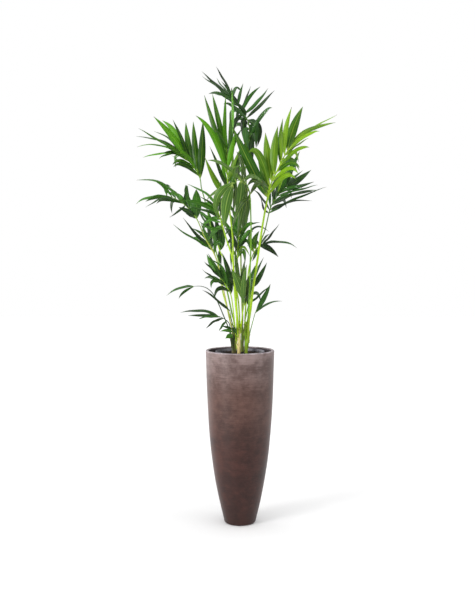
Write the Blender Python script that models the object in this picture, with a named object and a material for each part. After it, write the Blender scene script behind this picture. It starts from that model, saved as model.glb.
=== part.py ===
"""A kentia palm in a tall tapered round planter.

Metres, +Z up.  The origin is on the floor, on the planter's axis; -Y is the front.
Five young palms grow together from one root ball in a plastic nursery pot, which stands
inside the planter on a fill of clay granules.  Every frond is one piece: its leaf stalk,
its rachis and its leaflets.
"""
import math
import bpy
import bmesh
import numpy as np

for ob in list(bpy.data.objects):
    bpy.data.objects.remove(ob, do_unlink=True)

# ---------------------------------------------------------------- driving dimensions, metres
GAP = 0.0004                  # clearance between pieces that rest on each other
PLANTER_H = 0.900
RIM_R = 0.1775                # outer radius at the rim
LIP_W = 0.0150                # width of the flat lip
LIP_H = 0.0220                # height of the thickened lip
WALL = 0.0110
FLOOR_T = 0.0220
FOOT_EDGE = 0.0110            # rounding of the foot's edge
SEG = 40
FOOT_R = 0.080                # where the side would meet the floor if its edge were sharp
FOOT_HANDLE = (0.146, 0.26)   # the side is one curve from foot to rim, drawn by two handles:
RIM_HANDLE = (0.167, 0.44)    # (radius, height) that it leaves the foot and reaches the rim by
SIDE_STEPS = 11

def side_at(t):
    """radius and height on the planter's side, from the foot at t = 0 to the rim at t = 1"""
    pts = ((FOOT_R, 0.0), FOOT_HANDLE, RIM_HANDLE, (RIM_R, PLANTER_H))
    k = ((1 - t) ** 3, 3 * t * (1 - t) ** 2, 3 * t * t * (1 - t), t ** 3)
    return tuple(sum(a * q[i] for a, q in zip(k, pts)) for i in (0, 1))

def side_r(z):
    """outer radius of the planter at a height"""
    lo, hi = 0.0, 1.0
    for _ in range(50):
        mid = (lo + hi) / 2
        if side_at(mid)[1] < z: lo = mid
        else: hi = mid
    return side_at(lo)[0]

def side_heights(z0, z1):
    """the heights of the side's rings between two levels"""
    return [z for z in (side_at(i / SIDE_STEPS)[1] for i in range(SIDE_STEPS + 1)) if z0 < z < z1]

FILL_TOP = 0.660              # clay granules reach up to here
POT_TOP = 0.895               # nursery pot rim, a little under the planter's
POT_R_TOP = 0.1240
POT_R_BOTTOM = 0.0980
POT_WALL = 0.0020
POT_RIM = 0.0030              # how far its rim stands out
SOIL_TOP = 0.882
SOCKET = 0.040                # how deep a stem sits in the soil
LEAF_T = 0.0016               # thickness of the plain leaflet solids

# ---------------------------------------------------------------- the plant, drawn as a front elevation
# Every frond is drawn in a front elevation, in centimetres: x to the right, z up from the floor.
# The third number is its depth y, minus towards the front.  The elevation is a perspective one,
# as a person standing in front of the plant sees it, so a point is carried to its depth along the
# line from that person's eye.
EYE = np.array([-0.0130, -4.2, 1.387])

def at(x, z, y):
    q = np.array([x * 0.01, 0.0, z * 0.01])
    k = (y * 0.01 - EYE[1]) / -EYE[1]
    return EYE + (q - EYE) * k

# stems: name -> (x, y, foot radius, top radius, top height), cm, real positions in the pot
STEMS = {
    'stem_a': (3.0, -2.6, 0.80, 0.48, 104.5),
    'stem_b': (-0.5, -4.9, 0.74, 0.45, 101.5),
    'stem_c': (-3.5, -1.6, 0.62, 0.36, 97.5),
    'stem_d': (1.2, 4.6, 0.74, 0.45, 103.0),
    'stem_e': (-2.8, 3.4, 0.72, 0.42, 100.5),
}

# frond: name, stem, height on stem, bearing on stem, radius at foot (mm), tone,
#        petiole points (x, z, y), rachis points (x, z, y),
#        leaflets (base x, z, middle x, z, tip x, z, seen width, depth of tip from base,
#                  and for a bowed one how much nearer its middle is)
FRONDS = [
 ('frond_top', 'stem_d', 99, 95, 4.6, 'dark',
  [(1.3,106,8.5),(1.0,115,12),(0.6,128,14),(0.4,142,17),(0.6,158,20),(1.6,174,22),(3.2,186,24)],
  [(4.2,195,26),(4.7,201,27),(4.3,206,28),(2.6,209.8,29),(0.4,212.7,30),(-2.2,216.2,31),(-4.8,220.2,32)],
  [(-4.8,220.2,-8.5,227.3,-12.2,234.1,1.0,4),(-4.4,219.6,-11.8,225.2,-19.5,231.8,1.1,-5),
   (-3.8,218.7,-12.5,224.8,-19.4,229.6,0.5,-12),(-4.6,219.9,-8.2,224.0,-12.0,228.6,0.7,12),
   (-4.3,219.5,-4.2,221.8,-3.8,223.9,0.7,3),(-2.9,217.2,-8.3,219.8,-12.6,220.2,0.5,5),
   (-1.5,215.2,-0.2,220.0,1.6,226.0,1.4,5),(0.2,213.0,3.0,218.0,5.3,224.8,0.9,10),
   (1.2,211.8,4.6,218.8,10.3,224.3,1.7,2),(2.4,210.2,8.4,216.2,14.2,223.5,1.6,7),
   (3.4,208.3,10.2,215.0,17.5,222.4,1.5,-3),(4.2,206.2,7.4,204.4,8.2,193.2,3.8,-8),
   (3.8,207.5,9.6,203.5,8.7,194.0,2.8,4),(4.6,203.0,2.8,200.5,4.4,190.0,3.2,-10),
   (3.6,208.4,1.8,204.5,3.2,193.0,3.0,-4),(1.6,211.0,-2.6,206.4,-3.6,198.0,2.0,-6),
   (4.7,200.0,6.0,196.0,6.6,187.5,2.4,5),(4.5,196.5,3.2,189.5,0.5,183.0,1.6,-3),
   (-0.4,213.6,-1.2,211.0,-2.3,207.0,1.4,8),
   (4.4,205.0,6.4,201.0,6.0,191.5,2.8,11),(2.9,209.4,1.2,213.0,-3.4,217.6,2.0,-7),
   (-0.6,213.9,-2.8,218.4,-7.0,222.8,1.5,8),(-2.0,215.9,-5.4,221.0,-9.4,227.0,1.2,-5),
   (4.4,197.5,5.4,189.5,4.4,179.5,2.4,-6),(4.3,196.2,1.9,190.5,1.4,179.0,2.4,8),
   (-1.3,215.0,-5.2,217.8,-10.4,222.4,1.2,12)]),
 ('frond_left_upright', 'stem_b', 95, 120, 5.8, 'mid',
  [(-1.0,102,-2.5),(-2.0,112,-1),(-3.0,124,0),(-3.5,136,1),(-3.8,148,2),(-5.0,159,3)],
  [(-5.8,167,4),(-6.2,174,4.5),(-6.5,181,5),(-6.5,187,5.5),(-6.3,193,6)],
  [(-5.9,168.5,-12.3,176.3,-18.1,189.2,2.6,-6),(-6.2,173.5,-10.3,182.2,-15.4,194.6,1.5,-10),
   (-6.4,180,-13.4,199.3,-22.7,209.8,2.7,-5),(-6.5,184.5,-13.2,204,-18.2,220.1,2.3,3),
   (-6.5,188,-10.7,206,-14.1,220.8,2.4,8),(-6.4,191.5,-7.1,206,-7.1,220,1.7,-2),
   (-6.3,193,-5.1,208,-4.1,223.7,1.3,6),(-6.5,183,-4.4,192,-2.6,201,2.4,-6),
   (-6.5,186,-3.2,195.5,1.2,203.8,1.4,4),(-6.2,175.5,-3.6,184,0.3,193.3,1.6,-7),
   (-6.3,178.5,-4.3,184.5,-3.4,191,1.1,9),(-6.1,171,-8,179,-9.5,189,1.8,8),
   (-6.4,181.5,-9.2,191.5,-12.6,202.5,1.8,-1),(-6.5,185.5,-8.8,197.5,-10.6,210.0,1.9,12),
   (-6.4,189.5,-5.2,200.0,-5.2,212.5,1.6,-7),
   (-6.0,170.0,-3.4,179.0,-0.6,190.5,2.2,13),(-5.9,168.6,-2.0,180.5,1.0,197.5,2.0,5),
   (-6.5,184.2,-4.6,193.0,-4.6,204.0,1.8,11)]),
 ('frond_left_upper', 'stem_e', 95, 165, 4.3, 'mid',
  [(-2.8,102,5),(-4.4,110,7),(-6.3,119,9),(-8.2,127,10),(-10.6,134.5,11),(-12.6,142,12),(-14.5,151,13),(-16.4,160,14),(-18.3,168,14),(-19.8,173.5,14)],
  [(-20.4,178,14),(-22.3,181.6,14),(-24.8,185.2,14),(-27.3,188,15),(-29.8,190.2,16),(-32.3,191.1,17)],
  [(-20.4,178.4,-19.4,192.5,-18.9,207.3,3.4,-6),(-21.8,180.9,-23.0,194,-23.8,206.9,2.9,3),
   (-24.2,184.4,-26.5,196,-27.6,206.4,2.8,8),(-26.6,187.3,-29.4,197,-34.1,207.8,1.7,-4),
   (-27.6,188.4,-34.4,199,-44.1,209.4,3.0,-8),(-28.4,189,-32.9,200.8,-39.7,207.3,2.7,7),
   (-26.8,187.6,-38.0,198.5,-52,203.2,0.9,-14),(-29.2,189.7,-35.6,197.6,-43.8,202,0.7,12),
   (-30.0,190.3,-39.8,197.0,-53,199,0.8,14),(-30.7,190.6,-41,194.9,-52.7,193.8,0.5,-14),
   (-31.0,190.8,-36.4,190.6,-41.4,188.0,0.9,-4),(-32.2,191.08,-41,191.6,-49.5,188.4,0.7,10),
   (-26.0,186.7,-30.8,187.2,-35,189.6,0.4,-8),
   (-20.8,179.2,-22.6,184.5,-26.0,190.0,1.8,12),(-23.4,183.3,-26.4,188.4,-31.0,193.6,1.6,-10)]),
 ('frond_left_lower', 'stem_e', 92, 215, 4.2, 'deep',
  [(-4.0,100,2),(-5.6,107,1),(-7.0,114,0),(-8.5,121,-1),(-9.9,128,-2),(-11.2,134,-3),(-13.4,139.8,-4),(-16,144.3,-5),(-18.5,149,-6),(-20.5,153.8,-7)],
  [(-22.2,157.6,-8),(-24.3,160.4,-8),(-26.6,162.9,-8),(-29.3,165.4,-8),(-32.3,167.3,-7),(-35.4,168.6,-6),(-38,169.3,-5)],
  [(-22.4,158,-22.2,166,-22.4,172.6,4.2,-4),(-25,161.2,-27,167,-27.9,171.4,3.1,5),
   (-28,164.3,-29.8,167.8,-31.6,170.4,1.6,-5),(-29.3,165.4,-39.5,175.3,-53.1,177.3,1.0,8),
   (-38,169.3,-46.5,169.5,-53.4,165,1.0,6),(-36.5,169,-42.5,169.8,-48.4,166.2,1.5,-5),
   (-34.8,168.5,-41.5,167.3,-48.3,163.1,0.6,-12),(-28.4,164.6,-30.8,161.8,-36.2,158.3,0.9,-8),
   (-33,167.7,-35,170.4,-38.1,170.7,0.7,10),(-22.3,157.8,-25,158.9,-28,160.1,0.8,10),
   (-23.2,159,-24.8,163.8,-28.5,167.2,2.0,8),(-31,166.6,-35.5,167.6,-40.5,168.2,0.9,-9),
   (-23.7,159.7,-26.4,161.6,-31.5,163.4,2.2,-7),(-30.0,165.9,-31.6,169.0,-34.2,171.4,1.6,6)]),
 ('frond_left_front', 'stem_b', 97, 235, 5.6, 'deep',
  [(-1.2,103,-8),(-1.6,109,-9),(-2.1,116,-11),(-2.7,124,-13),(-3.3,132,-15),(-4.2,138.5,-17),(-5.6,143,-18),(-7.1,147.5,-19)],
  [(-8.4,152,-20),(-9.9,157.2,-21),(-11.2,161,-22),(-12.3,164,-23),(-13,166.3,-24)],
  [(-12.8,165.7,-17.8,171,-27,175,0.9,5),(-11.9,162.8,-15.2,165.6,-20.6,169,0.8,-5),
   (-10.8,159.8,-19.5,165.0,-30,166.9,2.0,-7),(-10.2,158,-15.8,161,-26.5,164,1.1,-11),
   (-9.5,155.8,-14.6,157.4,-21.3,161.3,1.0,3),(-8.6,152.6,-15,152.6,-21,156.3,1.2,-6),
   (-12.6,165.0,-10.4,170.5,-9.8,177,1.4,9),(-11.4,161.6,-9.4,165.6,-8.2,171,1.6,12),
   (-9.3,155.0,-7.6,158.0,-6.0,163,1.5,14),
   (-11.0,160.4,-14.8,164.4,-19.8,165.6,2.0,8),(-9.9,157.0,-14.2,157.4,-19.5,153.4,1.7,10),
   (-9.0,154.0,-13.2,151.0,-16.6,145.4,1.8,13)]),
 ('frond_right_front', 'stem_a', 94, -38, 6.8, 'bright',
  [(4.4,104,-4),(5.5,112,-6),(6.4,120,-8),(7.6,128,-10),(8.7,135,-12),(9.8,143,-14),(11,151,-15),(12.6,160.5,-17),(13.6,166,-18)],
  [(14.2,168.3,-18.5),(15.4,174,-19),(17.3,178.8,-19.5),(19.3,182.6,-20),(21.6,187.6,-19),(24.2,192,-18),(26.3,196,-16)],
  [(14.2,168.5,5.6,184,-4.4,205,4.3,-10),(14.6,170.5,8.5,181,1.2,199.9,2.8,-4),
   (15.4,174,9.6,190,4.4,190.9,3.0,-8),(16.4,177,14.2,188.5,12.9,201.3,3.7,3),
   (17.8,180,17.4,192.0,19.3,204.5,3.3,-3),(20.8,186,20.4,197.0,21.8,208.4,2.0,4),
   (22.6,190,23.0,201,26.3,214.2,2.3,-3),(24.8,193.2,27.2,203.5,32,214.4,3.9,4),
   (26.3,196,35,202.6,48.6,206.2,1.9,6),(26.0,195.4,36.5,203,49.6,210.4,0.7,12),
   (25.2,194,31,198.5,39.2,202.4,0.4,16),(24.0,191.6,29,195,35.2,198.4,0.4,18),
   (22.2,188.6,21.8,181,19.3,170.5,2.0,-8),
   (14.4,169.4,9.4,178.0,3.0,187.0,2.2,4),(15.0,172.3,11.4,181.5,8.6,193.5,2.0,9)]),
 ('frond_right_back', 'stem_a', 97, 75, 4.4, 'dark',
  [(4.6,108,2),(5.9,118,4),(7.4,128,6),(9.2,139,8),(10.9,146.8,9),(12.7,151.3,10),(13.7,155.5,11)],
  [(14.7,160,12),(15.6,163.2,13),(17.6,167,14),(20.2,170.4,15),(23.2,173.4,16),(26,175.6,17)],
  [(19.2,169.2,25.4,180,30.5,191.9,2.8,1),(21.4,171.7,25.9,176.8,32.1,182.1,1.4,9),
   (23.6,173.8,29.2,176.9,36.4,182.4,3.0,4),(22.6,172.9,28.8,173.6,37.8,176.3,1.8,-7),
   (19.4,169.5,29.5,172.2,39.8,174.6,0.8,-8),(17.4,166.8,27.5,170.3,40.4,172.2,1.1,-4),
   (16.2,164.5,28.5,170.2,38.8,170.9,0.9,-12),(14.9,161.0,27.5,167.4,44.4,173.6,0.9,-8),
   (15.4,162.6,25,166,36.8,166.8,0.8,-14),(15.2,162.0,11,168.4,6.6,172.8,0.9,6),
   (14.8,160.4,11.9,163.5,10.7,169.5,0.7,12),(17.0,166.0,17.0,172,18.5,178,1.4,9),
   (18.2,167.9,21.4,177.0,26.6,186.4,1.5,-6),(16.6,165.4,19.2,174.0,22.6,184.0,1.2,14)]),
 ('frond_front_centre', 'stem_a', 100, -115, 4.4, 'grey',
  [(3.9,105,-6),(4.5,112,-8),(4.9,122,-11),(5.2,134,-14),(5.7,148,-18),(5.5,159,-21)],
  [(5.25,166.5,-24),(4.6,172.0,-26),(3.0,175.4,-29),(0.5,177.0,-32),(-2.0,176.6,-35),(-4.2,174.2,-37)],
  [(-4.2,174.2,-9.0,166.5,-7.8,152.5,4.4,-6),(-3.6,174.9,-11.6,168.6,-10.9,157,3.0,5),
   (-2,176.6,-2.6,168.5,-3.6,159.8,1.4,-4),(0.5,177,0.2,168.5,-2.6,157.5,4.0,7),
   (2.3,176.1,1.9,166,1.2,150.5,2.7,16),(5.1,169.8,4.6,163.5,2.8,153.5,2.2,14),
   (5.2,167.2,-0.3,163.8,-4,150.5,1.6,-15,-6),(4.2,173.0,0.9,161,-1.3,148.3,2.2,-3),
   (1.6,176.5,1.2,182,2.3,187.2,0.7,6),(-0.6,177.0,-1.2,181,-0.6,186,1.6,9)]),
 ('frond_right_mid', 'stem_d', 97, -25, 4.4, 'dark',
  [(2.6,106,8),(3.0,114,11),(3.6,123,14),(4.6,132,17),(6.0,137.6,20)],
  [(7.2,140.2,21),(8.7,142.4,22),(10.3,143.9,24),(12.0,144.9,26)],
  [(11.8,144.8,15.6,148.4,20,155,0.9,6),(10.9,144.3,12.6,147.8,15.5,149.7,0.8,10),
   (11.6,144.7,20.2,147.7,29.2,142.6,0.9,3),(10.8,144.2,16.5,145.8,22,145.2,0.9,-4),
   (10.0,143.6,14.4,142.6,19.7,137.9,2.7,-6),(8.4,142.0,7.3,146.0,9.9,151.3,2.9,5),
   (7.3,140.4,5.1,146,5.4,151.8,2.2,10),(8.9,142.6,7.8,139,6.2,135.6,1.2,-8,-2.5)]),
 ('frond_left_back', 'stem_d', 92, 160, 4.6, 'deep',
  [(-0.1,102,5.3),(-0.4,110,6.2),(-1.2,118,8.0),(-2.8,124.5,10.5),(-5,130.5,13.5),(-8,136.5,16.5)],
  [(-10.3,141,19),(-12,146.5,21),(-13.4,152,23),(-14.8,157,25)],
  [(-14.5,156.0,-15.4,158.6,-16.6,162.0,1.4,3),(-11.8,145.7,-13.6,152,-15.8,159.6,3.2,-6),
   (-11,143,-11.2,150.5,-12.8,158.5,3.0,5),(-10.6,141.8,-9.0,147.5,-9.8,156,2.6,10),
   (-13.2,151.4,-18,156.5,-21.5,163.5,0.9,10),(-12.6,148.8,-17.5,150,-22,148.5,0.8,14),
   (-10.4,141.4,-10.4,137.5,-9.6,133.8,1.6,-5)]),
 ('frond_left_low', 'stem_b', 91, 180, 4.2, 'deep',
  [(-2.4,100,-5),(-3.0,106,-6),(-3.8,113,-7)],
  [(-4.7,118.5,-8),(-6.2,121.6,-9),(-8.3,124.9,-10),(-10.4,128,-11),(-12,130.8,-12)],
  [(-11.8,130.4,-14.2,134.5,-17,139.3,2.2,3),(-6.6,122.2,-9.0,132.2,-15,136.5,0.9,-5),
   (-9.9,127.2,-14,131.9,-18.4,135.6,0.8,-8),(-8,124.4,-13.5,127.2,-19.5,131.7,0.6,-12),
   (-7.6,123.8,-8.6,128.0,-10.3,133.6,2.8,-4),(-5.6,120.4,-6.4,129.5,-9.2,139.6,1.5,5),
   (-4.9,119,-5.0,129,-9,140.2,1.2,12),
   (-9.2,126.2,-12.4,131.4,-16.4,139.6,1.5,-4),(-5.4,120.0,-4.8,126.0,-2.6,134.0,2.0,9)]),
 ('frond_centre_low', 'stem_b', 99, -45, 4.2, 'grey',
  [(0.6,103,-8),(1.1,107.5,-10)],
  [(1.8,112,-12),(2.3,116.2,-13),(2.2,119.8,-14)],
  [(2.2,115,-0.7,124,-4.6,132,3.2,-5),(2.25,118.9,1.5,126,2.3,136,2.8,-2),
   (2.25,119.2,3.3,124,4.9,128.9,1.2,5),(2.0,113.6,3.1,120,3.5,125.5,1.1,1),
   (2.3,117.4,-1.4,131,-2.2,143.3,1.8,6),
   (2.1,116.2,-1.8,122.5,-6.2,128.0,1.8,10),(1.9,113.0,2.8,123.5,3.4,134.0,2.2,-8)]),
 ('frond_centre_mid', 'stem_e', 97, 20, 4.8, 'deep',
  [(-1.6,104,5),(-1.9,112,6),(-1.8,124,7),(-1.4,136,8)],
  [(-1.1,143,9),(-0.8,147,9.5),(-0.2,150,10),(0.8,152.2,11)],
  [(-0.2,150,4.4,154,10.3,155.4,0.9,8),(-0.8,147.4,6.8,152.6,15,150.9,0.9,-3),
   (-0.9,146,2.8,146.4,5.0,141.6,1.5,-6),(-1.0,144.6,1.9,143,5.1,137.9,0.9,-10),
   (0.7,152.0,2.4,154.5,4.1,157.6,1.1,5),(-0.7,148,-4.6,149.2,-8.3,152.8,2.2,-8),
   (-0.9,146,-4.0,146.5,-6.9,143.2,2.0,4),(-0.3,149.7,-2.6,155,-6,160,2.2,6),
   (0.5,151.6,0.4,156.5,-1.5,163,2.2,8),(-1.1,143.3,1.6,141,2.6,134.6,2.0,-14),
   (-0.6,148.6,-3.8,145.6,-4.2,138.0,2.2,-8),(-1.0,144.2,-4.2,140.0,-4.4,131.5,1.5,9),
   (0.3,151.0,-3.6,152.8,-8.0,148.6,2.0,-3),(-0.4,149.3,2.6,156.0,2.4,164.0,2.0,12),
   (-0.7,147.9,-5.6,152.2,-10.0,158.0,1.8,4),(0.6,151.8,-2.0,157.6,-5.4,165.6,1.7,-7)]),
 ('frond_left_mid', 'stem_e', 98, 255, 3.6, 'deep',
  [(-4.6,106,2.2),(-7.0,113,2.6),(-9.2,121,3),(-10.4,128,3.5),(-11.6,134.5,3)],
  [(-12.8,139,2),(-13.9,141.6,1),(-15.2,143.8,0),(-16.6,145.6,-1)],
  [(-13.6,140.9,-21,148.2,-29.4,158,1.3,-3),(-14.8,143.2,-25,148.2,-34.6,154.6,0.7,-12),
   (-15.9,144.7,-17.6,149.7,-20.1,155.2,1.3,7),(-13.2,140,-12.9,146,-13.6,152.5,1.5,10),
   (-16.2,145.0,-19.4,149.6,-24.6,152.6,1.2,-8),(-14.4,142.4,-16.0,149.0,-17.2,157.0,1.5,14)]),
 ('frond_back_right', 'stem_d', 95, 35, 4.2, 'dark',
  [(2.4,104,8),(3.4,109,11)],
  [(4.3,113,14),(5.2,117,17),(6.0,120.5,19),(6.6,123.5,21)],
  [(5.4,117.9,7.6,127.5,12.4,137.8,1.6,-4),(6.4,122.5,9.8,127.4,13.9,135.2,2.4,5),
   (6.0,120.8,5.9,127.0,8.6,134.8,2.2,12),(4.6,114.2,9.6,118.0,15.7,123.7,0.8,4),
   (4.4,113.2,3.7,119,4.6,127.5,1.6,10),(4.9,115.8,3.0,121.5,5.0,129,1.2,16)]),
 ('frond_right_low', 'stem_a', 91, 8, 3.2, 'dark',
  [(4.9,98,-2),(6.0,102.5,0)],
  [(7.0,106.2,3),(7.8,109.0,5),(8.6,110.9,7)],
  [(8.5,110.7,12.2,117,15.7,124.2,2.3,6),(7.9,109.3,13.8,113.8,21.8,115.2,0.8,12)]),
 ('seedling_leaf_left', 'stem_c', 93.5, 140, 3.6, 'dark',
  [(-5.2,99,0),(-6.8,103.6,1),(-8.6,108,2),(-10.6,112.8,3),(-12.6,117,4),(-14.9,120.2,5)],
  [(-17,121.9,6),(-20,122.9,7),(-23,122.9,8),(-25,122.5,9)],
  [(-24.6,122.6,-29,120.3,-31.5,116.6,1.1,-4),(-24.0,122.7,-31,122.1,-37.9,118,1.0,5)]),
 ('seedling_leaf_centre', 'stem_c', 95.5, 20, 2.4, 'dark',
  [(-3.9,101,-1),(-4.3,105,-2)],
  [(-4.8,108.2,-3),(-5.4,110.9,-4)],
  [(-5.3,110.5,-12.4,116.4,-19.4,121,0.9,-8)]),
 ('frond_lowest_left', 'stem_c', 91.5, 200, 3.5, 'dark',
  [(-4.9,96.5,-3.5),(-5.0,101.0,-6)],
  [(-5.9,104.2,-8),(-7.7,105.8,-9),(-10,107,-10),(-12.4,107.8,-11)],
  [(-12.2,107.7,-20.5,110.4,-30.7,109.1,1.1,5),(-11.6,107.6,-19,109.0,-26.8,107.6,1.1,-3),
   (-10.4,107.1,-16,107.7,-21.7,106,0.8,-8),(-8.6,106.3,-13.4,104.7,-17.8,100.8,1.0,-12),
   (-6.8,105.2,-9.1,102.6,-11,99.5,0.9,-9)]),
 ('basal_shoot', 'stem_c', 90.0, 262, 2.6, 'deep',
  [(-3.6,93.5,-4.6)],
  [(-3.7,95.6,-5.6),(-3.9,99,-6.6),(-4.0,101.6,-7.4)],
  [(-4.0,101.3,-6.5,101.7,-9.6,102.2,1.0,-3),(-3.9,99.2,-6.8,100.1,-10.1,99.6,1.3,-5),
   (-3.8,96.6,-5.4,97.2,-7.7,95.7,2.2,-6),(-3.95,100.3,-2.9,100.6,-1.5,97.2,1.4,-6)]),
]

def unit(v):
    n = np.linalg.norm(v)
    return v / n if n > 1e-12 else v

def smooth_path(ctrl, per=14):
    """centripetal Catmull-Rom through the control points, as a dense polyline"""
    P = [2 * ctrl[0] - ctrl[1]] + list(ctrl) + [2 * ctrl[-1] - ctrl[-2]]
    out = []
    for i in range(1, len(P) - 2):
        p0, p1, p2, p3 = P[i - 1], P[i], P[i + 1], P[i + 2]
        t0 = 0.0
        t1 = t0 + max(np.linalg.norm(p1 - p0), 1e-6) ** 0.5
        t2 = t1 + max(np.linalg.norm(p2 - p1), 1e-6) ** 0.5
        t3 = t2 + max(np.linalg.norm(p3 - p2), 1e-6) ** 0.5
        for j in range(per):
            t = t1 + (t2 - t1) * j / per
            a1 = (t1 - t) / (t1 - t0) * p0 + (t - t0) / (t1 - t0) * p1
            a2 = (t2 - t) / (t2 - t1) * p1 + (t - t1) / (t2 - t1) * p2
            a3 = (t3 - t) / (t3 - t2) * p2 + (t - t2) / (t3 - t2) * p3
            b1 = (t2 - t) / (t2 - t0) * a1 + (t - t0) / (t2 - t0) * a2
            b2 = (t3 - t) / (t3 - t1) * a2 + (t - t1) / (t3 - t1) * a3
            out.append((t2 - t) / (t2 - t1) * b1 + (t - t1) / (t2 - t1) * b2)
    out.append(np.array(ctrl[-1], float))
    return np.array(out)

class Line:
    """a polyline read by arc length"""
    def __init__(self, pts):
        self.p = pts
        self.s = np.concatenate([[0], np.cumsum(np.linalg.norm(np.diff(pts, axis=0), axis=1))])
        self.L = self.s[-1]
    def pos(self, s):
        return np.array([np.interp(s, self.s, self.p[:, i]) for i in range(3)])
    def tan(self, s, h=0.006):
        return unit(self.pos(min(s + h, self.L)) - self.pos(max(s - h, 0)))
    def near(self, q, smin=0.0):
        d = np.linalg.norm(self.p - q, axis=1) + (self.s < smin) * 10
        return self.s[int(np.argmin(d))]

def side_frame(P, T):
    V = EYE - P
    V = unit(V - T * float(V @ T))
    return unit(np.cross(T, V)), V        # side (to the left of the way it grows), towards the eye

class Leaf:
    pass

class Frond:
    pass

def leaf_width(t, W):
    """half-open blade outline: narrow claw, widest before the middle, long drawn-out tip"""
    t = np.asarray(t, float)
    a = 0.20 + 0.80 * np.sin(np.clip(t / 0.40, 0, 1) * math.pi / 2) ** 0.9
    b = (1 - np.clip((t - 0.40) / 0.60, 0, 1) ** 1.9)
    return W * a * np.maximum(b, 0.0)

def build_fronds():
    fronds = []
    for name, stem, h, az, r0, tone, pet, rac, leaves in FRONDS:
        f = Frond()
        f.name, f.stem, f.tone, f.r0 = name, stem, tone, r0 * 0.001
        sx, sy, rf, rt, top = STEMS[stem]
        zs = h * 0.01
        rs = (rf + (rt - rf) * (h - 86.0) / (top - 86.0)) * 0.01
        R = rs + f.r0 + 0.0008
        a = math.radians(az)
        base = np.array([sx * 0.01 + R * math.cos(a), sy * 0.01 + R * math.sin(a), zs])
        up = base + np.array([0.0010 * math.cos(a), 0.0010 * math.sin(a), 0.024])
        ctrl = [base, up] + [at(x, z, y) for x, z, y in pet] + [at(x, z, y) for x, z, y in rac]
        f.line = Line(smooth_path(ctrl))
        f.s_blade = f.line.near(at(*rac[0]))
        f.r_end = max(0.0011, f.r0 * 0.28)
        f.leaves = []
        for k, (bx, bz, mx, mz, tx, tz, w, dy, *bow) in enumerate(leaves):
            l = Leaf()
            # the foot lies on the rachis, at the point drawn nearest to (bx, bz)
            best, bs = 1e9, 0
            for s, p in zip(f.line.s, f.line.p):
                if s < f.s_blade - 0.03: continue
                q = EYE + (p - EYE) * (-EYE[1]) / (p[1] - EYE[1])
                d = (q[0] * 100 - bx) ** 2 + (q[2] * 100 - bz) ** 2
                if d < best: best, bs = d, s
            l.s, l.m, l.t, l.w, l.dy, l.k = bs, (mx, mz), (tx, tz), (w * 1.12 + 0.20) * 0.01, dy, k
            l.mid_push, l.tip_push, l.extra = (bow[0] if bow else 0.0), 0.0, False
            P = f.line.pos(bs); T = f.line.tan(bs); S, V = side_frame(P, T)
            q = at(mx, mz, P[1] * 100)
            l.side = 1 if float((q - P) @ S) >= 0 else -1
            f.leaves.append(l)
        # slots along the rachis: at most one leaflet on each side of a slot
        pitch, f.slots = 0.0135, []
        for l in sorted(f.leaves, key=lambda l: (l.s, l.k)):
            if f.slots and abs(l.s - f.slots[-1][0]) < 0.010 and l.side not in f.slots[-1][1]:
                f.slots[-1][1][l.side] = l
            else:
                s = l.s if not f.slots else max(l.s, f.slots[-1][0] + pitch)
                f.slots.append([s, {l.side: l}])
        over = f.slots[-1][0] + 0.007 - f.line.L
        if over > 0:                                    # keep the last slots on the rachis
            s_max = f.line.L - 0.007
            for sl in reversed(f.slots):
                if sl[0] <= s_max: break
                sl[0] = s_max
                s_max -= pitch
        if name in FULL: fill_out(f, FULL[name], pitch)
        for s, d in f.slots:
            for l in d.values(): l.s = s
        fronds.append(f)
    return fronds

# fronds with leaflets that point backwards and forwards as well; the number is how many free
# places on the rachis there are to each of them
FULL = {'frond_top': 2, 'frond_left_upright': 2, 'frond_left_upper': 2, 'frond_left_lower': 2,
        'frond_left_front': 2, 'frond_right_front': 2, 'frond_right_back': 2, 'frond_front_centre': 2,
        'frond_right_mid': 2, 'frond_left_back': 2, 'frond_left_low': 2, 'frond_centre_mid': 2,
        'frond_left_mid': 2, 'frond_back_right': 2}

def elevation(p):
    q = EYE + (p - EYE) * (-EYE[1]) / (p[1] - EYE[1])
    return (q[0] * 100, q[2] * 100)

def fill_out(f, every, pitch):
    """puts the leaflets that point backwards and forwards on the rachis's free places"""
    ss = [s for s, d in f.slots]
    for a, b in zip(ss, ss[1:]):
        n = int((b - a) / pitch) - 1
        f.slots += [[a + (b - a) * (i + 1) / (n + 1), {}] for i in range(n)]
    f.slots.sort(key=lambda q: q[0])
    place, way = 0, 1.0
    for s, d in f.slots:
        for side in (1, -1):
            if side in d: continue
            place += 1
            if place % every: continue
            u = (s - ss[0]) / max(0.01, ss[-1] - ss[0])
            P, T = f.line.pos(s), f.line.tan(s); S, V = side_frame(P, T)
            L = (0.13 + 0.55 * (ss[-1] - ss[0])) * (1 - 0.30 * u) * (0.9 + 0.2 * ((place * 7) % 5) / 4)
            mid = P + (S * side * 0.20 + T * 0.26 + V * way * 0.36) * L
            tip = P + (S * side * 0.34 + T * 0.36 + V * way * 0.82) * L
            mid[2] += 0.05 * L; tip[2] -= 0.08 * L
            l = Leaf()
            l.s, l.m, l.t, l.w, l.side = s, elevation(mid), elevation(tip), 0.016 + 0.006 * (1 - u), side
            l.dy, l.k = (tip[1] - P[1]) * 100, 100 + place
            l.mid_push, l.tip_push, l.extra = 0.0, 0.0, True
            d[side] = l; f.leaves.append(l)
            way = -way
    f.slots = [q for q in f.slots if q[1]]

def frond_radius(f, s):
    u = s / f.line.L
    ub = f.s_blade / f.line.L
    r_b = f.r0 * 0.66
    if u < ub: return f.r0 + (r_b - f.r0) * (u / ub)
    return r_b + (f.r_end - r_b) * ((u - ub) / (1 - ub))

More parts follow.
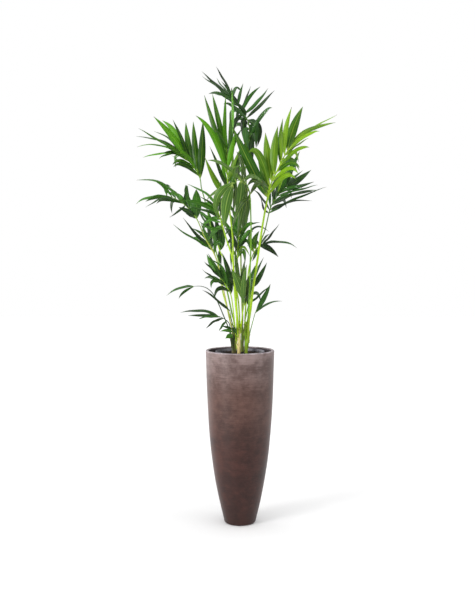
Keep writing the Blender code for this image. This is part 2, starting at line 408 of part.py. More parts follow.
def leaf_curve(f, l, n):
    """n+1 stations: position, direction, width direction, upper side, width"""
    P0 = f.line.pos(l.s); T0 = f.line.tan(l.s); S, V = side_frame(P0, T0)
    P0 = P0 + S * l.side * frond_radius(f, l.s) * 0.866
    yb = P0[1] * 100
    M = at(l.m[0], l.m[1], yb + l.dy * 0.42 + l.mid_push)
    E = at(l.t[0], l.t[1], yb + l.dy + l.tip_push)
    C = 2 * M - (P0 + E) / 2
    lean = 0.17 * float(np.linalg.norm(C - P0)) - float((C - P0) @ S) * l.side
    if lean > 0: C = C + S * (l.side * lean)             # every leaflet leaves the rachis a little outwards
    t = np.linspace(0, 1, n + 1)[:, None]
    P = (1 - t) ** 2 * P0 + 2 * t * (1 - t) * C + t ** 2 * E
    D = 2 * (1 - t) * (C - P0) + 2 * t * (E - C)
    D = np.array([unit(d) for d in D])
    L = float(np.linalg.norm(np.diff(P, axis=0), axis=1).sum())
    W = max(l.w, min(0.027, 0.085 * L + 0.004))          # true width of the blade
    phi = math.acos(min(1.0, max(l.w / W, 0.30)))        # how far the blade is turned on edge
    U, N = [], []
    sgn = None
    for i in range(n + 1):
        Vd = EYE - P[i]; Vd = unit(Vd - D[i] * float(Vd @ D[i]))
        Ud = unit(np.cross(D[i], Vd))
        if sgn is None:
            sgn = 1.0 if float(Ud @ T0) >= 0 else -1.0
            turn = None
        Ud = Ud * sgn
        if turn is None:
            Um = unit(np.cross(unit(M - P0), unit(EYE - M))) * sgn
            turn = -1.0 if Um[2] > 0 else 1.0
        a = phi * min(1.0, max(0.0, (i / n - 0.10) / 0.22))
        U.append(unit(math.cos(a) * Ud + math.sin(a) * turn * Vd))
        N.append(unit(math.cos(a) * Vd - math.sin(a) * turn * Ud))
    w = leaf_width(t[:, 0], W)
    return P, D, np.array(U), np.array(N), w, L, W

CAD_T = (0.10, 0.32, 0.58, 0.82)                        # stations of the plain solid of a leaflet

def leaf_solid(f, l, thick, grow=0.0):
    """rectangular sections of a leaflet at CAD_T, and its tip"""
    P, D, U, N, w, L, W = leaf_curve(f, l, 50)
    S, V = side_frame(f.line.pos(l.s), f.line.tan(l.s))
    S = S * l.side
    sec = []
    for t in CAD_T:
        i = int(round(t * 50))
        hw = max(w[i], 0.003) * 0.5
        if not sec:                                      # the claw is only as wide as it has room beside the rachis
            out = float((P[i] - P[0]) @ S)
            hw = min(hw, 0.0030, max(0.0009, (out - 0.0003) / max(abs(float(U[i] @ S)), 0.05)))
        hw += grow
        ht = thick * 0.5 + grow
        sec.append((P[i] - U[i] * hw - N[i] * ht, P[i] - U[i] * hw + N[i] * ht,
                    P[i] + U[i] * hw + N[i] * ht, P[i] + U[i] * hw - N[i] * ht))
    return sec, P[50]

def base_quad(f, l, half=0.0035):
    """the four corners on the rachis, in the order of a section"""
    out = {}
    for tag, ds in (('a', -half), ('b', half)):
        P = f.line.pos(l.s + ds); T = f.line.tan(l.s + ds); S, V = side_frame(P, T)
        r = frond_radius(f, l.s + ds)
        c = P + S * l.side * r * math.cos(math.pi / 6)
        out[tag] = (c - V * r * 0.5, c + V * r * 0.5)
    return out['a'][0], out['a'][1], out['b'][1], out['b'][0]

def ease_apart(fronds, thick=0.0016, grow=0.0006, rounds=70, report=None):
    """moves leaflets that would cross nearer or farther, in small equal steps, until they are clear"""
    from mathutils.bvhtree import BVHTree
    parts = []                                           # (frond index, leaf or None)
    for fi, f in enumerate(fronds):
        parts.append((fi, None))
        for l in f.leaves: parts.append((fi, l))
    cache, hits = {}, {}
    for it in range(rounds):
        V, F, owner = [], [], []
        for pi, (fi, l) in enumerate(parts):
            f = fronds[fi]
            key = pi if l is None else (pi, round(l.mid_push, 4), round(l.tip_push, 4), l.w)
            if key not in cache:
                v, fc = [], []
                if l is None:
                    n = max(6, int(f.line.L / 0.03)); ring = []
                    for i in range(n + 1):
                        s = f.line.L * i / n
                        P = f.line.pos(s); T = f.line.tan(s); S, Vv = side_frame(P, T)
                        r = (frond_radius(f, s) + grow) * 1.02
                        for j in range(6):
                            a = math.radians(-30 + 60 * j)
                            v.append(P + r * (math.cos(a) * S + math.sin(a) * Vv))
                    for i in range(n):
                        for j in range(6):
                            a, b = i * 6 + j, i * 6 + (j + 1) % 6
                            fc += [(a, b, b + 6), (a, b + 6, a + 6)]
                else:
                    sec, tip = leaf_solid(f, l, thick, grow)
                    rows = [base_quad(f, l)] + sec
                    for r4 in rows: v += list(r4)
                    for i in range(len(rows) - 1):
                        for j in range(4):
                            a, b = i * 4 + j, i * 4 + (j + 1) % 4
                            fc += [(a, b, a + 4), (b, b + 4, a + 4)] if j in (0, 3) else [(a, b, b + 4), (a, b + 4, a + 4)]
                    v.append(tip); k = len(v) - 1; i = (len(rows) - 1) * 4
                    for j in range(4): fc.append((i + j, i + (j + 1) % 4, k))
                cache[key] = (np.array(v), np.array(fc))
            v, fc = cache[key]
            off = sum(len(x) for x in V)
            V.append(v); F.append(fc + off); owner += [(pi, i) for i in range(len(fc))]
        VV = np.concatenate(V); FF = np.concatenate(F)
        tree = BVHTree.FromPolygons([tuple(p) for p in VV], [tuple(int(i) for i in t) for t in FF])
        pairs = tree.overlap(tree)
        own = np.array([o[0] for o in owner]); loc = np.array([o[1] for o in owner])
        if not pairs: break
        A = np.array(pairs); A = A[own[A[:, 0]] < own[A[:, 1]]]
        cen = VV[FF].mean(axis=1)
        hits = {}
        for a, b in A:
            pa, pb = own[a], own[b]
            fa, la = parts[pa]; fb, lb = parts[pb]
            if fa == fb and la is None and loc[b] < 16: continue          # a leaflet's own claw
            if fa == fb and la is not None and lb is not None and loc[a] < 8 and loc[b] < 8 and not (la.extra or lb.extra): continue
            hits.setdefault((pa, pb), []).append((a, b))
        if report is not None: report.append(len(hits))
        if not hits: break
        for (pa, pb), tris in sorted(hits.items()):
            fa, la = parts[pa]; fb, lb = parts[pb]
            yc_a = float(np.mean([cen[a][1] for a, b in tris])); yc_b = float(np.mean([cen[b][1] for a, b in tris]))
            ka = max(loc[a] for a, b in tris) if la is not None else 0
            kb = max(loc[b] for a, b in tris) if lb is not None else 0
            ya, yb_ = yc_a, yc_b
            if la is not None and lb is not None:
                ya = f_depth(fronds[fa], la); yb_ = f_depth(fronds[fb], lb)
            sg = 1.0 if (ya, pa) > (yb_, pb) else -1.0
            step = 0.5 if it < 40 else 0.9
            for l, k, s in ((la, ka, sg), (lb, kb, -sg)):
                if l is None: continue
                if k < 24: l.mid_push += s * step
                else: l.mid_push += s * step * 0.5; l.tip_push += s * step
                l.mid_push = max(-9.0, min(9.0, l.mid_push)); l.tip_push = max(-16.0, min(16.0, l.tip_push))
    return hits, parts

def settle(fronds, report=None):
    """eases the leaflets apart; a backward or forward one that finds no room is left out"""
    for k in range(5):
        hits, parts = ease_apart(fronds, rounds=70 if k else 30, report=report)
        out = {id(l) for pair in hits for l in (parts[pair[0]][1], parts[pair[1]][1]) if l is not None and l.extra}
        if not out: break
        for f in fronds:
            f.leaves = [l for l in f.leaves if id(l) not in out]
            for q in f.slots: q[1] = {k: l for k, l in q[1].items() if id(l) not in out}
            f.slots = [q for q in f.slots if q[1]]
    return hits, parts

def f_depth(f, l):
    yb = f.line.pos(l.s)[1] * 100
    return yb + 0.5 * (l.dy * 0.42 + l.mid_push) + 0.5 * (l.dy + l.tip_push)

# ---------------------------------------------------------------- materials
def material(name, rgb, rough, metal=0.0):
    m = bpy.data.materials.new(name)
    m.use_nodes = True
    b = m.node_tree.nodes['Principled BSDF']
    b.inputs['Base Color'].default_value = (*rgb, 1.0)
    b.inputs['Roughness'].default_value = rough
    b.inputs['Metallic'].default_value = metal
    m.diffuse_color = (*rgb, 1.0)
    return m

TONE = {
    'dark': material('leaf_dark', (0.030, 0.085, 0.022), 0.42),
    'deep': material('leaf_deep', (0.050, 0.130, 0.030), 0.42),
    'mid': material('leaf_mid', (0.085, 0.235, 0.022), 0.40),
    'grey': material('leaf_grey', (0.100, 0.210, 0.060), 0.48),
    'bright': material('leaf_bright', (0.185, 0.390, 0.050), 0.40),
}
M_STEM = material('stem_sheath', (0.300, 0.390, 0.080), 0.50)
M_PLANTER = material('planter_brown', (0.150, 0.092, 0.080), 0.46)
M_CLAY = material('clay_granules', (0.330, 0.140, 0.075), 0.90)
M_POT = material('nursery_plastic', (0.035, 0.035, 0.038), 0.45)
M_SOIL = material('potting_soil', (0.035, 0.022, 0.015), 0.95)

def finish(me, name, mat, smooth=True):
    me.validate(verbose=False)
    if smooth:
        me.shade_smooth()
        me.set_sharp_from_angle(angle=math.radians(35))
    me.materials.append(mat)
    ob = bpy.data.objects.new(name, me)
    bpy.context.scene.collection.objects.link(ob)
    return ob

def turned(name, outline, mat, seg=SEG, x=0.0, y=0.0):
    """a solid of revolution about Z; the outline runs from the axis round to the axis"""
    bm = bmesh.new()
    rings = []
    for r, z in outline:
        if r < 1e-7:
            rings.append([bm.verts.new((x, y, z))])
        else:
            rings.append([bm.verts.new((x + r * math.cos(2 * math.pi * i / seg),
                                        y + r * math.sin(2 * math.pi * i / seg), z)) for i in range(seg)])
    for a, b in zip(rings, rings[1:]):
        for i in range(seg):
            j = (i + 1) % seg
            if len(a) == 1: bm.faces.new((a[0], b[j], b[i]))
            elif len(b) == 1: bm.faces.new((a[i], a[j], b[0]))
            else: bm.faces.new((a[i], a[j], b[j], b[i]))
    bmesh.ops.recalc_face_normals(bm, faces=bm.faces)
    me = bpy.data.meshes.new(name)
    bm.to_mesh(me); bm.free()
    return finish(me, name, mat)

# ---------------------------------------------------------------- planter
r_edge = side_r(FOOT_EDGE)
outline = [(0.0, 0.0), (r_edge - FOOT_EDGE, 0.0)]
for a in (30, 60, 90):
    outline.append((r_edge - FOOT_EDGE + FOOT_EDGE * math.sin(math.radians(a)),
                    FOOT_EDGE - FOOT_EDGE * math.cos(math.radians(a))))
outline += [(side_r(z), z) for z in side_heights(FOOT_EDGE + 0.008, PLANTER_H - 0.02)]
outline += [(RIM_R, PLANTER_H - 0.003), (RIM_R - 0.003, PLANTER_H),
            (RIM_R - LIP_W + 0.003, PLANTER_H), (RIM_R - LIP_W, PLANTER_H - 0.003),
            (RIM_R - LIP_W, PLANTER_H - LIP_H), (RIM_R - LIP_W + 0.003, PLANTER_H - LIP_H - 0.006)]
outline += [(side_r(z) - WALL, z) for z in reversed(side_heights(FLOOR_T + 0.008, PLANTER_H - 0.05))]
r_floor = side_r(FLOOR_T) - WALL
outline += [(r_floor, FLOOR_T), (0.0, FLOOR_T)]
turned('planter', outline, M_PLANTER)

# ---------------------------------------------------------------- clay granule fill
fill = [(0.0, FLOOR_T + GAP), (r_floor - 0.002, FLOOR_T + GAP)]
fill += [(side_r(z) - WALL - 0.0014, z) for z in side_heights(FLOOR_T + 0.008, FILL_TOP - 0.02)]
fill += [(side_r(FILL_TOP) - WALL - 0.0020, FILL_TOP), (0.0, FILL_TOP)]
turned('clay_granule_fill', fill, M_CLAY, seg=32)

# ---------------------------------------------------------------- nursery pot
z0 = FILL_TOP + GAP
def pot_r(z): return POT_R_BOTTOM + (POT_R_TOP - POT_R_BOTTOM) * (z - z0) / (POT_TOP - z0)
turned('nursery_pot', [
    (0.0, z0), (POT_R_BOTTOM - 0.004, z0), (pot_r(z0 + 0.004), z0 + 0.004),
    (pot_r(POT_TOP - 0.020), POT_TOP - 0.020), (POT_R_TOP + POT_RIM, POT_TOP - 0.018),
    (POT_R_TOP + POT_RIM, POT_TOP), (POT_R_TOP - POT_WALL, POT_TOP),
    (pot_r(z0 + 0.004) - POT_WALL, z0 + POT_WALL + 0.001), (0.0, z0 + POT_WALL + 0.001)], M_POT)

# ---------------------------------------------------------------- root ball with a socket for each stem
zb = z0 + POT_WALL + 0.001 + GAP
def soil_r(z):
    r0_, za = pot_r(z0 + 0.004) - POT_WALL, z0 + POT_WALL + 0.001
    r1_ = POT_R_TOP - POT_WALL
    return r0_ + (r1_ - r0_) * (z - za) / (POT_TOP - za) - 0.0010
soil = turned('root_ball', [(0.0, zb), (soil_r(zb) - 0.001, zb), (soil_r(SOIL_TOP), SOIL_TOP), (0.0, SOIL_TOP)], M_SOIL, seg=32)
cutters = []
for sname, (sx, sy, rf, rt, top) in STEMS.items():
    rc = rf * 0.01 + GAP
    c = turned('socket_' + sname, [(0.0, SOIL_TOP - SOCKET - GAP), (rc, SOIL_TOP - SOCKET - GAP),
                                   (rc, SOIL_TOP + 0.01), (0.0, SOIL_TOP + 0.01)], M_SOIL, seg=12, x=sx * 0.01, y=sy * 0.01)
    c.hide_render = True
    c.display_type = 'WIRE'
    md = soil.modifiers.new('socket_' + sname, 'BOOLEAN')
    md.operation, md.object, md.solver = 'DIFFERENCE', c, 'EXACT'

# ---------------------------------------------------------------- stems
for sname, (sx, sy, rf, rt, top) in STEMS.items():
    rf, rt, top = rf * 0.01, rt * 0.01, top * 0.01
    zs = [SOIL_TOP - SOCKET, 0.86, 0.86 + (top - 0.86) * 0.5, top - 0.006, top]
    out = [(0.0, zs[0])]
    for z in zs:
        r = rf if z <= 0.86 else rf + (rt - rf) * (z - 0.86) / (top - 0.86)
        if z == top: r *= 0.6
        out.append((r - (0.0002 if z > 0.86 else 0.0), z))
    out.append((0.0, top))
    turned(sname, out, M_STEM, seg=12, x=sx * 0.01, y=sy * 0.01)

# ---------------------------------------------------------------- fronds
def frond_mesh(f):
    """stalk and rachis as a six-sided tube; each leaflet is drawn out of one side face of it"""
    stations = []                                        # (s, slot index or None, first or last of slot)
    n_pet = max(4, int(f.s_blade / 0.075))
    first = f.slots[0][0] - 0.0035
    for i in range(n_pet): stations.append((first * i / n_pet, None))
    for k, (s, d) in enumerate(f.slots):
        stations += [(s - 0.0035, k), (s + 0.0035, None)]
        nxt = f.slots[k + 1][0] - 0.0035 if k + 1 < len(f.slots) else None
        if nxt is not None and nxt - s > 0.035:
            m = int((nxt - s) / 0.028)
            for i in range(1, m): stations.append((s + 0.0035 + (nxt - s - 0.0035) * i / m, None))
    if f.line.L - stations[-1][0] > 0.030: stations.append((f.line.L, None))
    bm = bmesh.new()
    rings = []
    for s, k in stations:
        P = f.line.pos(s); T = f.line.tan(s); S, V = side_frame(P, T)
        r = frond_radius(f, s)
        rings.append([bm.verts.new(P + r * (math.cos(math.radians(-30 + 60 * j)) * S +
                                            math.sin(math.radians(-30 + 60 * j)) * V)) for j in range(6)])
    def quad(a, b, c, d, other=False):
        # the back of a blade is split along the same diagonal as its front, so a twist keeps them apart
        if other: bm.faces.new((a, b, d)); bm.faces.new((b, c, d))
        else: bm.faces.new((a, b, c)); bm.faces.new((a, c, d))
    for i in range(len(rings) - 1):
        A, B = rings[i], rings[i + 1]
        slot = f.slots[stations[i][1]][1] if stations[i][1] is not None else {}
        for j in range(6):
            j2 = (j + 1) % 6
            side = 1 if j == 0 else (-1 if j == 3 else 0)
            if side and side in slot:
                l = slot[side]
                # corners in the order of a section: lower edge back, lower edge front, upper front, upper back
                lo, hi = (A[j], A[j2]), (B[j], B[j2])
                if side < 0: lo, hi = (A[j2], A[j]), (B[j2], B[j])
                row = [lo[0], lo[1], hi[1], hi[0]]
                sec, tip = leaf_solid(f, l, LEAF_T)
                for q in sec:
                    new = [bm.verts.new(p) for p in q]
                    for m in range(4):
                        quad(row[m], row[(m + 1) % 4], new[(m + 1) % 4], new[m], other=m in (0, 3))
                    row = new
                tv = bm.verts.new(tip)
                for m in range(4): bm.faces.new((row[m], row[(m + 1) % 4], tv))
            else:
                quad(A[j], A[j2], B[j2], B[j])
    for ring, flip in ((rings[0], True), (rings[-1], False)):
        for j in range(1, 5):
            t = (ring[0], ring[j], ring[j + 1])
            bm.faces.new(t[::-1] if flip else t)
    bmesh.ops.recalc_face_normals(bm, faces=bm.faces)
    me = bpy.data.meshes.new(f.name)
    bm.to_mesh(me); bm.free()
    return me

fronds = build_fronds()
settle(fronds)
for f in fronds:
    finish(frond_mesh(f), f.name, TONE[f.tone], smooth=False)
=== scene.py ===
"""The finished look of a kentia palm in a tall tapered planter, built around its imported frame."""
import math
import random
import bpy
import bmesh
import numpy as np
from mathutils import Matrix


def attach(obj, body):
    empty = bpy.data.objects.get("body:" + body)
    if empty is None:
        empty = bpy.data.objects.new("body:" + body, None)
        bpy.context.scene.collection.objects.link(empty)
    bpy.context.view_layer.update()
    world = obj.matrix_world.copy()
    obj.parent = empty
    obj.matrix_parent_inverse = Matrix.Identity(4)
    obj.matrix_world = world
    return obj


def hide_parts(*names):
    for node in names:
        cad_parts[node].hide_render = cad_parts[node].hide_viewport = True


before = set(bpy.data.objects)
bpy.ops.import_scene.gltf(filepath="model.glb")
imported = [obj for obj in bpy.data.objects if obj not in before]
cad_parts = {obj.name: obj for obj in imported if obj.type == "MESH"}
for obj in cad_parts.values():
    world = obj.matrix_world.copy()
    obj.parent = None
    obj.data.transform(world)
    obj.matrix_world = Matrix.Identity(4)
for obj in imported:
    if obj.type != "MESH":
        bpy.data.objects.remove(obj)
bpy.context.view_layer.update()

# ---------------------------------------------------------------- driving dimensions, metres
GAP = 0.0004                  # clearance between pieces that rest on each other
PLANTER_H = 0.900
RIM_R = 0.1775                # outer radius at the rim
LIP_W = 0.0150                # width of the flat lip
LIP_H = 0.0220                # height of the thickened lip
WALL = 0.0110
FLOOR_T = 0.0220
FOOT_EDGE = 0.0110            # rounding of the foot's edge
SEG = 40
FOOT_R = 0.080                # where the side would meet the floor if its edge were sharp
FOOT_HANDLE = (0.146, 0.26)   # the side is one curve from foot to rim, drawn by two handles:
RIM_HANDLE = (0.167, 0.44)    # (radius, height) that it leaves the foot and reaches the rim by
SIDE_STEPS = 11

def side_at(t):
    """radius and height on the planter's side, from the foot at t = 0 to the rim at t = 1"""
    pts = ((FOOT_R, 0.0), FOOT_HANDLE, RIM_HANDLE, (RIM_R, PLANTER_H))
    k = ((1 - t) ** 3, 3 * t * (1 - t) ** 2, 3 * t * t * (1 - t), t ** 3)
    return tuple(sum(a * q[i] for a, q in zip(k, pts)) for i in (0, 1))

def side_r(z):
    """outer radius of the planter at a height"""
    lo, hi = 0.0, 1.0
    for _ in range(50):
        mid = (lo + hi) / 2
        if side_at(mid)[1] < z: lo = mid
        else: hi = mid
    return side_at(lo)[0]

def side_heights(z0, z1):
    """the heights of the side's rings between two levels"""
    return [z for z in (side_at(i / SIDE_STEPS)[1] for i in range(SIDE_STEPS + 1)) if z0 < z < z1]

FILL_TOP = 0.660              # clay granules reach up to here
POT_TOP = 0.895               # nursery pot rim, a little under the planter's
POT_R_TOP = 0.1240
POT_R_BOTTOM = 0.0980
POT_WALL = 0.0020
POT_RIM = 0.0030              # how far its rim stands out
SOIL_TOP = 0.882
SOCKET = 0.040                # how deep a stem sits in the soil

# ---------------------------------------------------------------- the plant, drawn as a front elevation
# Every frond is drawn in a front elevation, in centimetres: x to the right, z up from the floor.
# The third number is its depth y, minus towards the front.  The elevation is a perspective one,
# as a person standing in front of the plant sees it, so a point is carried to its depth along the
# line from that person's eye.
EYE = np.array([-0.0130, -4.2, 1.387])

def at(x, z, y):
    q = np.array([x * 0.01, 0.0, z * 0.01])
    k = (y * 0.01 - EYE[1]) / -EYE[1]
    return EYE + (q - EYE) * k

# stems: name -> (x, y, foot radius, top radius, top height), cm, real positions in the pot
STEMS = {
    'stem_a': (3.0, -2.6, 0.80, 0.48, 104.5),
    'stem_b': (-0.5, -4.9, 0.74, 0.45, 101.5),
    'stem_c': (-3.5, -1.6, 0.62, 0.36, 97.5),
    'stem_d': (1.2, 4.6, 0.74, 0.45, 103.0),
    'stem_e': (-2.8, 3.4, 0.72, 0.42, 100.5),
}

